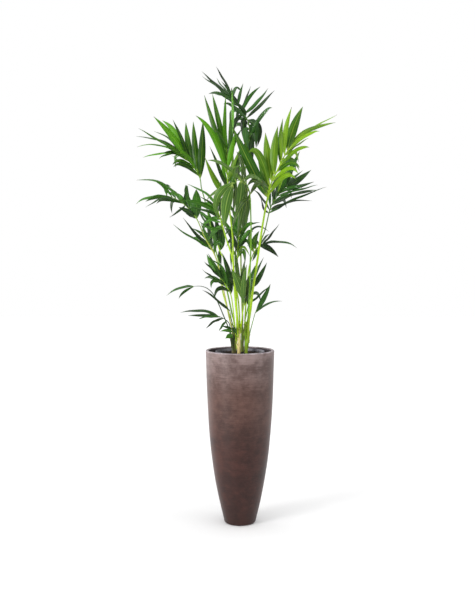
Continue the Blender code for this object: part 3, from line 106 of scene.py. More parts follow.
# frond: name, stem, height on stem, bearing on stem, radius at foot (mm), tone,
#        petiole points (x, z, y), rachis points (x, z, y),
#        leaflets (base x, z, middle x, z, tip x, z, seen width, depth of tip from base,
#                  and for a bowed one how much nearer its middle is)
FRONDS = [
 ('frond_top', 'stem_d', 99, 95, 4.6, 'dark',
  [(1.3,106,8.5),(1.0,115,12),(0.6,128,14),(0.4,142,17),(0.6,158,20),(1.6,174,22),(3.2,186,24)],
  [(4.2,195,26),(4.7,201,27),(4.3,206,28),(2.6,209.8,29),(0.4,212.7,30),(-2.2,216.2,31),(-4.8,220.2,32)],
  [(-4.8,220.2,-8.5,227.3,-12.2,234.1,1.0,4),(-4.4,219.6,-11.8,225.2,-19.5,231.8,1.1,-5),
   (-3.8,218.7,-12.5,224.8,-19.4,229.6,0.5,-12),(-4.6,219.9,-8.2,224.0,-12.0,228.6,0.7,12),
   (-4.3,219.5,-4.2,221.8,-3.8,223.9,0.7,3),(-2.9,217.2,-8.3,219.8,-12.6,220.2,0.5,5),
   (-1.5,215.2,-0.2,220.0,1.6,226.0,1.4,5),(0.2,213.0,3.0,218.0,5.3,224.8,0.9,10),
   (1.2,211.8,4.6,218.8,10.3,224.3,1.7,2),(2.4,210.2,8.4,216.2,14.2,223.5,1.6,7),
   (3.4,208.3,10.2,215.0,17.5,222.4,1.5,-3),(4.2,206.2,7.4,204.4,8.2,193.2,3.8,-8),
   (3.8,207.5,9.6,203.5,8.7,194.0,2.8,4),(4.6,203.0,2.8,200.5,4.4,190.0,3.2,-10),
   (3.6,208.4,1.8,204.5,3.2,193.0,3.0,-4),(1.6,211.0,-2.6,206.4,-3.6,198.0,2.0,-6),
   (4.7,200.0,6.0,196.0,6.6,187.5,2.4,5),(4.5,196.5,3.2,189.5,0.5,183.0,1.6,-3),
   (-0.4,213.6,-1.2,211.0,-2.3,207.0,1.4,8),
   (4.4,205.0,6.4,201.0,6.0,191.5,2.8,11),(2.9,209.4,1.2,213.0,-3.4,217.6,2.0,-7),
   (-0.6,213.9,-2.8,218.4,-7.0,222.8,1.5,8),(-2.0,215.9,-5.4,221.0,-9.4,227.0,1.2,-5),
   (4.4,197.5,5.4,189.5,4.4,179.5,2.4,-6),(4.3,196.2,1.9,190.5,1.4,179.0,2.4,8),
   (-1.3,215.0,-5.2,217.8,-10.4,222.4,1.2,12)]),
 ('frond_left_upright', 'stem_b', 95, 120, 5.8, 'mid',
  [(-1.0,102,-2.5),(-2.0,112,-1),(-3.0,124,0),(-3.5,136,1),(-3.8,148,2),(-5.0,159,3)],
  [(-5.8,167,4),(-6.2,174,4.5),(-6.5,181,5),(-6.5,187,5.5),(-6.3,193,6)],
  [(-5.9,168.5,-12.3,176.3,-18.1,189.2,2.6,-6),(-6.2,173.5,-10.3,182.2,-15.4,194.6,1.5,-10),
   (-6.4,180,-13.4,199.3,-22.7,209.8,2.7,-5),(-6.5,184.5,-13.2,204,-18.2,220.1,2.3,3),
   (-6.5,188,-10.7,206,-14.1,220.8,2.4,8),(-6.4,191.5,-7.1,206,-7.1,220,1.7,-2),
   (-6.3,193,-5.1,208,-4.1,223.7,1.3,6),(-6.5,183,-4.4,192,-2.6,201,2.4,-6),
   (-6.5,186,-3.2,195.5,1.2,203.8,1.4,4),(-6.2,175.5,-3.6,184,0.3,193.3,1.6,-7),
   (-6.3,178.5,-4.3,184.5,-3.4,191,1.1,9),(-6.1,171,-8,179,-9.5,189,1.8,8),
   (-6.4,181.5,-9.2,191.5,-12.6,202.5,1.8,-1),(-6.5,185.5,-8.8,197.5,-10.6,210.0,1.9,12),
   (-6.4,189.5,-5.2,200.0,-5.2,212.5,1.6,-7),
   (-6.0,170.0,-3.4,179.0,-0.6,190.5,2.2,13),(-5.9,168.6,-2.0,180.5,1.0,197.5,2.0,5),
   (-6.5,184.2,-4.6,193.0,-4.6,204.0,1.8,11)]),
 ('frond_left_upper', 'stem_e', 95, 165, 4.3, 'mid',
  [(-2.8,102,5),(-4.4,110,7),(-6.3,119,9),(-8.2,127,10),(-10.6,134.5,11),(-12.6,142,12),(-14.5,151,13),(-16.4,160,14),(-18.3,168,14),(-19.8,173.5,14)],
  [(-20.4,178,14),(-22.3,181.6,14),(-24.8,185.2,14),(-27.3,188,15),(-29.8,190.2,16),(-32.3,191.1,17)],
  [(-20.4,178.4,-19.4,192.5,-18.9,207.3,3.4,-6),(-21.8,180.9,-23.0,194,-23.8,206.9,2.9,3),
   (-24.2,184.4,-26.5,196,-27.6,206.4,2.8,8),(-26.6,187.3,-29.4,197,-34.1,207.8,1.7,-4),
   (-27.6,188.4,-34.4,199,-44.1,209.4,3.0,-8),(-28.4,189,-32.9,200.8,-39.7,207.3,2.7,7),
   (-26.8,187.6,-38.0,198.5,-52,203.2,0.9,-14),(-29.2,189.7,-35.6,197.6,-43.8,202,0.7,12),
   (-30.0,190.3,-39.8,197.0,-53,199,0.8,14),(-30.7,190.6,-41,194.9,-52.7,193.8,0.5,-14),
   (-31.0,190.8,-36.4,190.6,-41.4,188.0,0.9,-4),(-32.2,191.08,-41,191.6,-49.5,188.4,0.7,10),
   (-26.0,186.7,-30.8,187.2,-35,189.6,0.4,-8),
   (-20.8,179.2,-22.6,184.5,-26.0,190.0,1.8,12),(-23.4,183.3,-26.4,188.4,-31.0,193.6,1.6,-10)]),
 ('frond_left_lower', 'stem_e', 92, 215, 4.2, 'deep',
  [(-4.0,100,2),(-5.6,107,1),(-7.0,114,0),(-8.5,121,-1),(-9.9,128,-2),(-11.2,134,-3),(-13.4,139.8,-4),(-16,144.3,-5),(-18.5,149,-6),(-20.5,153.8,-7)],
  [(-22.2,157.6,-8),(-24.3,160.4,-8),(-26.6,162.9,-8),(-29.3,165.4,-8),(-32.3,167.3,-7),(-35.4,168.6,-6),(-38,169.3,-5)],
  [(-22.4,158,-22.2,166,-22.4,172.6,4.2,-4),(-25,161.2,-27,167,-27.9,171.4,3.1,5),
   (-28,164.3,-29.8,167.8,-31.6,170.4,1.6,-5),(-29.3,165.4,-39.5,175.3,-53.1,177.3,1.0,8),
   (-38,169.3,-46.5,169.5,-53.4,165,1.0,6),(-36.5,169,-42.5,169.8,-48.4,166.2,1.5,-5),
   (-34.8,168.5,-41.5,167.3,-48.3,163.1,0.6,-12),(-28.4,164.6,-30.8,161.8,-36.2,158.3,0.9,-8),
   (-33,167.7,-35,170.4,-38.1,170.7,0.7,10),(-22.3,157.8,-25,158.9,-28,160.1,0.8,10),
   (-23.2,159,-24.8,163.8,-28.5,167.2,2.0,8),(-31,166.6,-35.5,167.6,-40.5,168.2,0.9,-9),
   (-23.7,159.7,-26.4,161.6,-31.5,163.4,2.2,-7),(-30.0,165.9,-31.6,169.0,-34.2,171.4,1.6,6)]),
 ('frond_left_front', 'stem_b', 97, 235, 5.6, 'deep',
  [(-1.2,103,-8),(-1.6,109,-9),(-2.1,116,-11),(-2.7,124,-13),(-3.3,132,-15),(-4.2,138.5,-17),(-5.6,143,-18),(-7.1,147.5,-19)],
  [(-8.4,152,-20),(-9.9,157.2,-21),(-11.2,161,-22),(-12.3,164,-23),(-13,166.3,-24)],
  [(-12.8,165.7,-17.8,171,-27,175,0.9,5),(-11.9,162.8,-15.2,165.6,-20.6,169,0.8,-5),
   (-10.8,159.8,-19.5,165.0,-30,166.9,2.0,-7),(-10.2,158,-15.8,161,-26.5,164,1.1,-11),
   (-9.5,155.8,-14.6,157.4,-21.3,161.3,1.0,3),(-8.6,152.6,-15,152.6,-21,156.3,1.2,-6),
   (-12.6,165.0,-10.4,170.5,-9.8,177,1.4,9),(-11.4,161.6,-9.4,165.6,-8.2,171,1.6,12),
   (-9.3,155.0,-7.6,158.0,-6.0,163,1.5,14),
   (-11.0,160.4,-14.8,164.4,-19.8,165.6,2.0,8),(-9.9,157.0,-14.2,157.4,-19.5,153.4,1.7,10),
   (-9.0,154.0,-13.2,151.0,-16.6,145.4,1.8,13)]),
 ('frond_right_front', 'stem_a', 94, -38, 6.8, 'bright',
  [(4.4,104,-4),(5.5,112,-6),(6.4,120,-8),(7.6,128,-10),(8.7,135,-12),(9.8,143,-14),(11,151,-15),(12.6,160.5,-17),(13.6,166,-18)],
  [(14.2,168.3,-18.5),(15.4,174,-19),(17.3,178.8,-19.5),(19.3,182.6,-20),(21.6,187.6,-19),(24.2,192,-18),(26.3,196,-16)],
  [(14.2,168.5,5.6,184,-4.4,205,4.3,-10),(14.6,170.5,8.5,181,1.2,199.9,2.8,-4),
   (15.4,174,9.6,190,4.4,190.9,3.0,-8),(16.4,177,14.2,188.5,12.9,201.3,3.7,3),
   (17.8,180,17.4,192.0,19.3,204.5,3.3,-3),(20.8,186,20.4,197.0,21.8,208.4,2.0,4),
   (22.6,190,23.0,201,26.3,214.2,2.3,-3),(24.8,193.2,27.2,203.5,32,214.4,3.9,4),
   (26.3,196,35,202.6,48.6,206.2,1.9,6),(26.0,195.4,36.5,203,49.6,210.4,0.7,12),
   (25.2,194,31,198.5,39.2,202.4,0.4,16),(24.0,191.6,29,195,35.2,198.4,0.4,18),
   (22.2,188.6,21.8,181,19.3,170.5,2.0,-8),
   (14.4,169.4,9.4,178.0,3.0,187.0,2.2,4),(15.0,172.3,11.4,181.5,8.6,193.5,2.0,9)]),
 ('frond_right_back', 'stem_a', 97, 75, 4.4, 'dark',
  [(4.6,108,2),(5.9,118,4),(7.4,128,6),(9.2,139,8),(10.9,146.8,9),(12.7,151.3,10),(13.7,155.5,11)],
  [(14.7,160,12),(15.6,163.2,13),(17.6,167,14),(20.2,170.4,15),(23.2,173.4,16),(26,175.6,17)],
  [(19.2,169.2,25.4,180,30.5,191.9,2.8,1),(21.4,171.7,25.9,176.8,32.1,182.1,1.4,9),
   (23.6,173.8,29.2,176.9,36.4,182.4,3.0,4),(22.6,172.9,28.8,173.6,37.8,176.3,1.8,-7),
   (19.4,169.5,29.5,172.2,39.8,174.6,0.8,-8),(17.4,166.8,27.5,170.3,40.4,172.2,1.1,-4),
   (16.2,164.5,28.5,170.2,38.8,170.9,0.9,-12),(14.9,161.0,27.5,167.4,44.4,173.6,0.9,-8),
   (15.4,162.6,25,166,36.8,166.8,0.8,-14),(15.2,162.0,11,168.4,6.6,172.8,0.9,6),
   (14.8,160.4,11.9,163.5,10.7,169.5,0.7,12),(17.0,166.0,17.0,172,18.5,178,1.4,9),
   (18.2,167.9,21.4,177.0,26.6,186.4,1.5,-6),(16.6,165.4,19.2,174.0,22.6,184.0,1.2,14)]),
 ('frond_front_centre', 'stem_a', 100, -115, 4.4, 'grey',
  [(3.9,105,-6),(4.5,112,-8),(4.9,122,-11),(5.2,134,-14),(5.7,148,-18),(5.5,159,-21)],
  [(5.25,166.5,-24),(4.6,172.0,-26),(3.0,175.4,-29),(0.5,177.0,-32),(-2.0,176.6,-35),(-4.2,174.2,-37)],
  [(-4.2,174.2,-9.0,166.5,-7.8,152.5,4.4,-6),(-3.6,174.9,-11.6,168.6,-10.9,157,3.0,5),
   (-2,176.6,-2.6,168.5,-3.6,159.8,1.4,-4),(0.5,177,0.2,168.5,-2.6,157.5,4.0,7),
   (2.3,176.1,1.9,166,1.2,150.5,2.7,16),(5.1,169.8,4.6,163.5,2.8,153.5,2.2,14),
   (5.2,167.2,-0.3,163.8,-4,150.5,1.6,-15,-6),(4.2,173.0,0.9,161,-1.3,148.3,2.2,-3),
   (1.6,176.5,1.2,182,2.3,187.2,0.7,6),(-0.6,177.0,-1.2,181,-0.6,186,1.6,9)]),
 ('frond_right_mid', 'stem_d', 97, -25, 4.4, 'dark',
  [(2.6,106,8),(3.0,114,11),(3.6,123,14),(4.6,132,17),(6.0,137.6,20)],
  [(7.2,140.2,21),(8.7,142.4,22),(10.3,143.9,24),(12.0,144.9,26)],
  [(11.8,144.8,15.6,148.4,20,155,0.9,6),(10.9,144.3,12.6,147.8,15.5,149.7,0.8,10),
   (11.6,144.7,20.2,147.7,29.2,142.6,0.9,3),(10.8,144.2,16.5,145.8,22,145.2,0.9,-4),
   (10.0,143.6,14.4,142.6,19.7,137.9,2.7,-6),(8.4,142.0,7.3,146.0,9.9,151.3,2.9,5),
   (7.3,140.4,5.1,146,5.4,151.8,2.2,10),(8.9,142.6,7.8,139,6.2,135.6,1.2,-8,-2.5)]),
 ('frond_left_back', 'stem_d', 92, 160, 4.6, 'deep',
  [(-0.1,102,5.3),(-0.4,110,6.2),(-1.2,118,8.0),(-2.8,124.5,10.5),(-5,130.5,13.5),(-8,136.5,16.5)],
  [(-10.3,141,19),(-12,146.5,21),(-13.4,152,23),(-14.8,157,25)],
  [(-14.5,156.0,-15.4,158.6,-16.6,162.0,1.4,3),(-11.8,145.7,-13.6,152,-15.8,159.6,3.2,-6),
   (-11,143,-11.2,150.5,-12.8,158.5,3.0,5),(-10.6,141.8,-9.0,147.5,-9.8,156,2.6,10),
   (-13.2,151.4,-18,156.5,-21.5,163.5,0.9,10),(-12.6,148.8,-17.5,150,-22,148.5,0.8,14),
   (-10.4,141.4,-10.4,137.5,-9.6,133.8,1.6,-5)]),
 ('frond_left_low', 'stem_b', 91, 180, 4.2, 'deep',
  [(-2.4,100,-5),(-3.0,106,-6),(-3.8,113,-7)],
  [(-4.7,118.5,-8),(-6.2,121.6,-9),(-8.3,124.9,-10),(-10.4,128,-11),(-12,130.8,-12)],
  [(-11.8,130.4,-14.2,134.5,-17,139.3,2.2,3),(-6.6,122.2,-9.0,132.2,-15,136.5,0.9,-5),
   (-9.9,127.2,-14,131.9,-18.4,135.6,0.8,-8),(-8,124.4,-13.5,127.2,-19.5,131.7,0.6,-12),
   (-7.6,123.8,-8.6,128.0,-10.3,133.6,2.8,-4),(-5.6,120.4,-6.4,129.5,-9.2,139.6,1.5,5),
   (-4.9,119,-5.0,129,-9,140.2,1.2,12),
   (-9.2,126.2,-12.4,131.4,-16.4,139.6,1.5,-4),(-5.4,120.0,-4.8,126.0,-2.6,134.0,2.0,9)]),
 ('frond_centre_low', 'stem_b', 99, -45, 4.2, 'grey',
  [(0.6,103,-8),(1.1,107.5,-10)],
  [(1.8,112,-12),(2.3,116.2,-13),(2.2,119.8,-14)],
  [(2.2,115,-0.7,124,-4.6,132,3.2,-5),(2.25,118.9,1.5,126,2.3,136,2.8,-2),
   (2.25,119.2,3.3,124,4.9,128.9,1.2,5),(2.0,113.6,3.1,120,3.5,125.5,1.1,1),
   (2.3,117.4,-1.4,131,-2.2,143.3,1.8,6),
   (2.1,116.2,-1.8,122.5,-6.2,128.0,1.8,10),(1.9,113.0,2.8,123.5,3.4,134.0,2.2,-8)]),
 ('frond_centre_mid', 'stem_e', 97, 20, 4.8, 'deep',
  [(-1.6,104,5),(-1.9,112,6),(-1.8,124,7),(-1.4,136,8)],
  [(-1.1,143,9),(-0.8,147,9.5),(-0.2,150,10),(0.8,152.2,11)],
  [(-0.2,150,4.4,154,10.3,155.4,0.9,8),(-0.8,147.4,6.8,152.6,15,150.9,0.9,-3),
   (-0.9,146,2.8,146.4,5.0,141.6,1.5,-6),(-1.0,144.6,1.9,143,5.1,137.9,0.9,-10),
   (0.7,152.0,2.4,154.5,4.1,157.6,1.1,5),(-0.7,148,-4.6,149.2,-8.3,152.8,2.2,-8),
   (-0.9,146,-4.0,146.5,-6.9,143.2,2.0,4),(-0.3,149.7,-2.6,155,-6,160,2.2,6),
   (0.5,151.6,0.4,156.5,-1.5,163,2.2,8),(-1.1,143.3,1.6,141,2.6,134.6,2.0,-14),
   (-0.6,148.6,-3.8,145.6,-4.2,138.0,2.2,-8),(-1.0,144.2,-4.2,140.0,-4.4,131.5,1.5,9),
   (0.3,151.0,-3.6,152.8,-8.0,148.6,2.0,-3),(-0.4,149.3,2.6,156.0,2.4,164.0,2.0,12),
   (-0.7,147.9,-5.6,152.2,-10.0,158.0,1.8,4),(0.6,151.8,-2.0,157.6,-5.4,165.6,1.7,-7)]),
 ('frond_left_mid', 'stem_e', 98, 255, 3.6, 'deep',
  [(-4.6,106,2.2),(-7.0,113,2.6),(-9.2,121,3),(-10.4,128,3.5),(-11.6,134.5,3)],
  [(-12.8,139,2),(-13.9,141.6,1),(-15.2,143.8,0),(-16.6,145.6,-1)],
  [(-13.6,140.9,-21,148.2,-29.4,158,1.3,-3),(-14.8,143.2,-25,148.2,-34.6,154.6,0.7,-12),
   (-15.9,144.7,-17.6,149.7,-20.1,155.2,1.3,7),(-13.2,140,-12.9,146,-13.6,152.5,1.5,10),
   (-16.2,145.0,-19.4,149.6,-24.6,152.6,1.2,-8),(-14.4,142.4,-16.0,149.0,-17.2,157.0,1.5,14)]),
 ('frond_back_right', 'stem_d', 95, 35, 4.2, 'dark',
  [(2.4,104,8),(3.4,109,11)],
  [(4.3,113,14),(5.2,117,17),(6.0,120.5,19),(6.6,123.5,21)],
  [(5.4,117.9,7.6,127.5,12.4,137.8,1.6,-4),(6.4,122.5,9.8,127.4,13.9,135.2,2.4,5),
   (6.0,120.8,5.9,127.0,8.6,134.8,2.2,12),(4.6,114.2,9.6,118.0,15.7,123.7,0.8,4),
   (4.4,113.2,3.7,119,4.6,127.5,1.6,10),(4.9,115.8,3.0,121.5,5.0,129,1.2,16)]),
 ('frond_right_low', 'stem_a', 91, 8, 3.2, 'dark',
  [(4.9,98,-2),(6.0,102.5,0)],
  [(7.0,106.2,3),(7.8,109.0,5),(8.6,110.9,7)],
  [(8.5,110.7,12.2,117,15.7,124.2,2.3,6),(7.9,109.3,13.8,113.8,21.8,115.2,0.8,12)]),
 ('seedling_leaf_left', 'stem_c', 93.5, 140, 3.6, 'dark',
  [(-5.2,99,0),(-6.8,103.6,1),(-8.6,108,2),(-10.6,112.8,3),(-12.6,117,4),(-14.9,120.2,5)],
  [(-17,121.9,6),(-20,122.9,7),(-23,122.9,8),(-25,122.5,9)],
  [(-24.6,122.6,-29,120.3,-31.5,116.6,1.1,-4),(-24.0,122.7,-31,122.1,-37.9,118,1.0,5)]),
 ('seedling_leaf_centre', 'stem_c', 95.5, 20, 2.4, 'dark',
  [(-3.9,101,-1),(-4.3,105,-2)],
  [(-4.8,108.2,-3),(-5.4,110.9,-4)],
  [(-5.3,110.5,-12.4,116.4,-19.4,121,0.9,-8)]),
 ('frond_lowest_left', 'stem_c', 91.5, 200, 3.5, 'dark',
  [(-4.9,96.5,-3.5),(-5.0,101.0,-6)],
  [(-5.9,104.2,-8),(-7.7,105.8,-9),(-10,107,-10),(-12.4,107.8,-11)],
  [(-12.2,107.7,-20.5,110.4,-30.7,109.1,1.1,5),(-11.6,107.6,-19,109.0,-26.8,107.6,1.1,-3),
   (-10.4,107.1,-16,107.7,-21.7,106,0.8,-8),(-8.6,106.3,-13.4,104.7,-17.8,100.8,1.0,-12),
   (-6.8,105.2,-9.1,102.6,-11,99.5,0.9,-9)]),
 ('basal_shoot', 'stem_c', 90.0, 262, 2.6, 'deep',
  [(-3.6,93.5,-4.6)],
  [(-3.7,95.6,-5.6),(-3.9,99,-6.6),(-4.0,101.6,-7.4)],
  [(-4.0,101.3,-6.5,101.7,-9.6,102.2,1.0,-3),(-3.9,99.2,-6.8,100.1,-10.1,99.6,1.3,-5),
   (-3.8,96.6,-5.4,97.2,-7.7,95.7,2.2,-6),(-3.95,100.3,-2.9,100.6,-1.5,97.2,1.4,-6)]),
]

def unit(v):
    n = np.linalg.norm(v)
    return v / n if n > 1e-12 else v

def smooth_path(ctrl, per=14):
    """centripetal Catmull-Rom through the control points, as a dense polyline"""
    P = [2 * ctrl[0] - ctrl[1]] + list(ctrl) + [2 * ctrl[-1] - ctrl[-2]]
    out = []
    for i in range(1, len(P) - 2):
        p0, p1, p2, p3 = P[i - 1], P[i], P[i + 1], P[i + 2]
        t0 = 0.0
        t1 = t0 + max(np.linalg.norm(p1 - p0), 1e-6) ** 0.5
        t2 = t1 + max(np.linalg.norm(p2 - p1), 1e-6) ** 0.5
        t3 = t2 + max(np.linalg.norm(p3 - p2), 1e-6) ** 0.5
        for j in range(per):
            t = t1 + (t2 - t1) * j / per
            a1 = (t1 - t) / (t1 - t0) * p0 + (t - t0) / (t1 - t0) * p1
            a2 = (t2 - t) / (t2 - t1) * p1 + (t - t1) / (t2 - t1) * p2
            a3 = (t3 - t) / (t3 - t2) * p2 + (t - t2) / (t3 - t2) * p3
            b1 = (t2 - t) / (t2 - t0) * a1 + (t - t0) / (t2 - t0) * a2
            b2 = (t3 - t) / (t3 - t1) * a2 + (t - t1) / (t3 - t1) * a3
            out.append((t2 - t) / (t2 - t1) * b1 + (t - t1) / (t2 - t1) * b2)
    out.append(np.array(ctrl[-1], float))
    return np.array(out)

class Line:
    """a polyline read by arc length"""
    def __init__(self, pts):
        self.p = pts
        self.s = np.concatenate([[0], np.cumsum(np.linalg.norm(np.diff(pts, axis=0), axis=1))])
        self.L = self.s[-1]
    def pos(self, s):
        return np.array([np.interp(s, self.s, self.p[:, i]) for i in range(3)])
    def tan(self, s, h=0.006):
        return unit(self.pos(min(s + h, self.L)) - self.pos(max(s - h, 0)))
    def near(self, q, smin=0.0):
        d = np.linalg.norm(self.p - q, axis=1) + (self.s < smin) * 10
        return self.s[int(np.argmin(d))]

def side_frame(P, T):
    V = EYE - P
    V = unit(V - T * float(V @ T))
    return unit(np.cross(T, V)), V        # side (to the left of the way it grows), towards the eye

class Leaf:
    pass

class Frond:
    pass

def leaf_width(t, W):
    """half-open blade outline: narrow claw, widest before the middle, long drawn-out tip"""
    t = np.asarray(t, float)
    a = 0.20 + 0.80 * np.sin(np.clip(t / 0.40, 0, 1) * math.pi / 2) ** 0.9
    b = (1 - np.clip((t - 0.40) / 0.60, 0, 1) ** 1.9)
    return W * a * np.maximum(b, 0.0)

def build_fronds():
    fronds = []
    for name, stem, h, az, r0, tone, pet, rac, leaves in FRONDS:
        f = Frond()
        f.name, f.stem, f.tone, f.r0 = name, stem, tone, r0 * 0.001
        sx, sy, rf, rt, top = STEMS[stem]
        zs = h * 0.01
        rs = (rf + (rt - rf) * (h - 86.0) / (top - 86.0)) * 0.01
        R = rs + f.r0 + 0.0008
        a = math.radians(az)
        base = np.array([sx * 0.01 + R * math.cos(a), sy * 0.01 + R * math.sin(a), zs])
        up = base + np.array([0.0010 * math.cos(a), 0.0010 * math.sin(a), 0.024])
        ctrl = [base, up] + [at(x, z, y) for x, z, y in pet] + [at(x, z, y) for x, z, y in rac]
        f.line = Line(smooth_path(ctrl))
        f.s_blade = f.line.near(at(*rac[0]))
        f.r_end = max(0.0011, f.r0 * 0.28)
        f.leaves = []
        for k, (bx, bz, mx, mz, tx, tz, w, dy, *bow) in enumerate(leaves):
            l = Leaf()
            # the foot lies on the rachis, at the point drawn nearest to (bx, bz)
            best, bs = 1e9, 0
            for s, p in zip(f.line.s, f.line.p):
                if s < f.s_blade - 0.03: continue
                q = EYE + (p - EYE) * (-EYE[1]) / (p[1] - EYE[1])
                d = (q[0] * 100 - bx) ** 2 + (q[2] * 100 - bz) ** 2
                if d < best: best, bs = d, s
            l.s, l.m, l.t, l.w, l.dy, l.k = bs, (mx, mz), (tx, tz), (w * 1.12 + 0.20) * 0.01, dy, k
            l.mid_push, l.tip_push, l.extra = (bow[0] if bow else 0.0), 0.0, False
            P = f.line.pos(bs); T = f.line.tan(bs); S, V = side_frame(P, T)
            q = at(mx, mz, P[1] * 100)
            l.side = 1 if float((q - P) @ S) >= 0 else -1
            f.leaves.append(l)
        # slots along the rachis: at most one leaflet on each side of a slot
        pitch, f.slots = 0.0135, []
        for l in sorted(f.leaves, key=lambda l: (l.s, l.k)):
            if f.slots and abs(l.s - f.slots[-1][0]) < 0.010 and l.side not in f.slots[-1][1]:
                f.slots[-1][1][l.side] = l
            else:
                s = l.s if not f.slots else max(l.s, f.slots[-1][0] + pitch)
                f.slots.append([s, {l.side: l}])
        over = f.slots[-1][0] + 0.007 - f.line.L
        if over > 0:                                    # keep the last slots on the rachis
            s_max = f.line.L - 0.007
            for sl in reversed(f.slots):
                if sl[0] <= s_max: break
                sl[0] = s_max
                s_max -= pitch
        if name in FULL: fill_out(f, FULL[name], pitch)
        for s, d in f.slots:
            for l in d.values(): l.s = s
        fronds.append(f)
    return fronds

# fronds with leaflets that point backwards and forwards as well; the number is how many free
# places on the rachis there are to each of them
FULL = {'frond_top': 2, 'frond_left_upright': 2, 'frond_left_upper': 2, 'frond_left_lower': 2,
        'frond_left_front': 2, 'frond_right_front': 2, 'frond_right_back': 2, 'frond_front_centre': 2,
        'frond_right_mid': 2, 'frond_left_back': 2, 'frond_left_low': 2, 'frond_centre_mid': 2,
        'frond_left_mid': 2, 'frond_back_right': 2}

def elevation(p):
    q = EYE + (p - EYE) * (-EYE[1]) / (p[1] - EYE[1])
    return (q[0] * 100, q[2] * 100)

def fill_out(f, every, pitch):
    """puts the leaflets that point backwards and forwards on the rachis's free places"""
    ss = [s for s, d in f.slots]
    for a, b in zip(ss, ss[1:]):
        n = int((b - a) / pitch) - 1
        f.slots += [[a + (b - a) * (i + 1) / (n + 1), {}] for i in range(n)]
    f.slots.sort(key=lambda q: q[0])
    place, way = 0, 1.0
    for s, d in f.slots:
        for side in (1, -1):
            if side in d: continue
            place += 1
            if place % every: continue
            u = (s - ss[0]) / max(0.01, ss[-1] - ss[0])
            P, T = f.line.pos(s), f.line.tan(s); S, V = side_frame(P, T)
            L = (0.13 + 0.55 * (ss[-1] - ss[0])) * (1 - 0.30 * u) * (0.9 + 0.2 * ((place * 7) % 5) / 4)
            mid = P + (S * side * 0.20 + T * 0.26 + V * way * 0.36) * L
            tip = P + (S * side * 0.34 + T * 0.36 + V * way * 0.82) * L
            mid[2] += 0.05 * L; tip[2] -= 0.08 * L
            l = Leaf()
            l.s, l.m, l.t, l.w, l.side = s, elevation(mid), elevation(tip), 0.016 + 0.006 * (1 - u), side
            l.dy, l.k = (tip[1] - P[1]) * 100, 100 + place
            l.mid_push, l.tip_push, l.extra = 0.0, 0.0, True
            d[side] = l; f.leaves.append(l)
            way = -way
    f.slots = [q for q in f.slots if q[1]]

def frond_radius(f, s):
    u = s / f.line.L
    ub = f.s_blade / f.line.L
    r_b = f.r0 * 0.66
    if u < ub: return f.r0 + (r_b - f.r0) * (u / ub)
    return r_b + (f.r_end - r_b) * ((u - ub) / (1 - ub))

def leaf_curve(f, l, n):
    """n+1 stations: position, direction, width direction, upper side, width"""
    P0 = f.line.pos(l.s); T0 = f.line.tan(l.s); S, V = side_frame(P0, T0)
    P0 = P0 + S * l.side * frond_radius(f, l.s) * 0.866
    yb = P0[1] * 100
    M = at(l.m[0], l.m[1], yb + l.dy * 0.42 + l.mid_push)
    E = at(l.t[0], l.t[1], yb + l.dy + l.tip_push)
    C = 2 * M - (P0 + E) / 2
    lean = 0.17 * float(np.linalg.norm(C - P0)) - float((C - P0) @ S) * l.side
    if lean > 0: C = C + S * (l.side * lean)             # every leaflet leaves the rachis a little outwards
    t = np.linspace(0, 1, n + 1)[:, None]
    P = (1 - t) ** 2 * P0 + 2 * t * (1 - t) * C + t ** 2 * E
    D = 2 * (1 - t) * (C - P0) + 2 * t * (E - C)
    D = np.array([unit(d) for d in D])
    L = float(np.linalg.norm(np.diff(P, axis=0), axis=1).sum())
    W = max(l.w, min(0.027, 0.085 * L + 0.004))          # true width of the blade
    phi = math.acos(min(1.0, max(l.w / W, 0.30)))        # how far the blade is turned on edge
    U, N = [], []
    sgn = None
    for i in range(n + 1):
        Vd = EYE - P[i]; Vd = unit(Vd - D[i] * float(Vd @ D[i]))
        Ud = unit(np.cross(D[i], Vd))
        if sgn is None:
            sgn = 1.0 if float(Ud @ T0) >= 0 else -1.0
            turn = None
        Ud = Ud * sgn
        if turn is None:
            Um = unit(np.cross(unit(M - P0), unit(EYE - M))) * sgn
            turn = -1.0 if Um[2] > 0 else 1.0
        a = phi * min(1.0, max(0.0, (i / n - 0.10) / 0.22))
        U.append(unit(math.cos(a) * Ud + math.sin(a) * turn * Vd))
        N.append(unit(math.cos(a) * Vd - math.sin(a) * turn * Ud))
    w = leaf_width(t[:, 0], W)
    return P, D, np.array(U), np.array(N), w, L, W

CAD_T = (0.10, 0.32, 0.58, 0.82)                        # stations of the plain solid of a leaflet

def leaf_solid(f, l, thick, grow=0.0):
    """rectangular sections of a leaflet at CAD_T, and its tip"""
    P, D, U, N, w, L, W = leaf_curve(f, l, 50)
    S, V = side_frame(f.line.pos(l.s), f.line.tan(l.s))
    S = S * l.side
    sec = []
    for t in CAD_T:
        i = int(round(t * 50))
        hw = max(w[i], 0.003) * 0.5
        if not sec:                                      # the claw is only as wide as it has room beside the rachis
            out = float((P[i] - P[0]) @ S)
            hw = min(hw, 0.0030, max(0.0009, (out - 0.0003) / max(abs(float(U[i] @ S)), 0.05)))
        hw += grow
        ht = thick * 0.5 + grow
        sec.append((P[i] - U[i] * hw - N[i] * ht, P[i] - U[i] * hw + N[i] * ht,
                    P[i] + U[i] * hw + N[i] * ht, P[i] + U[i] * hw - N[i] * ht))
    return sec, P[50]

def base_quad(f, l, half=0.0035):
    """the four corners on the rachis, in the order of a section"""
    out = {}
    for tag, ds in (('a', -half), ('b', half)):
        P = f.line.pos(l.s + ds); T = f.line.tan(l.s + ds); S, V = side_frame(P, T)
        r = frond_radius(f, l.s + ds)
        c = P + S * l.side * r * math.cos(math.pi / 6)
        out[tag] = (c - V * r * 0.5, c + V * r * 0.5)
    return out['a'][0], out['a'][1], out['b'][1], out['b'][0]

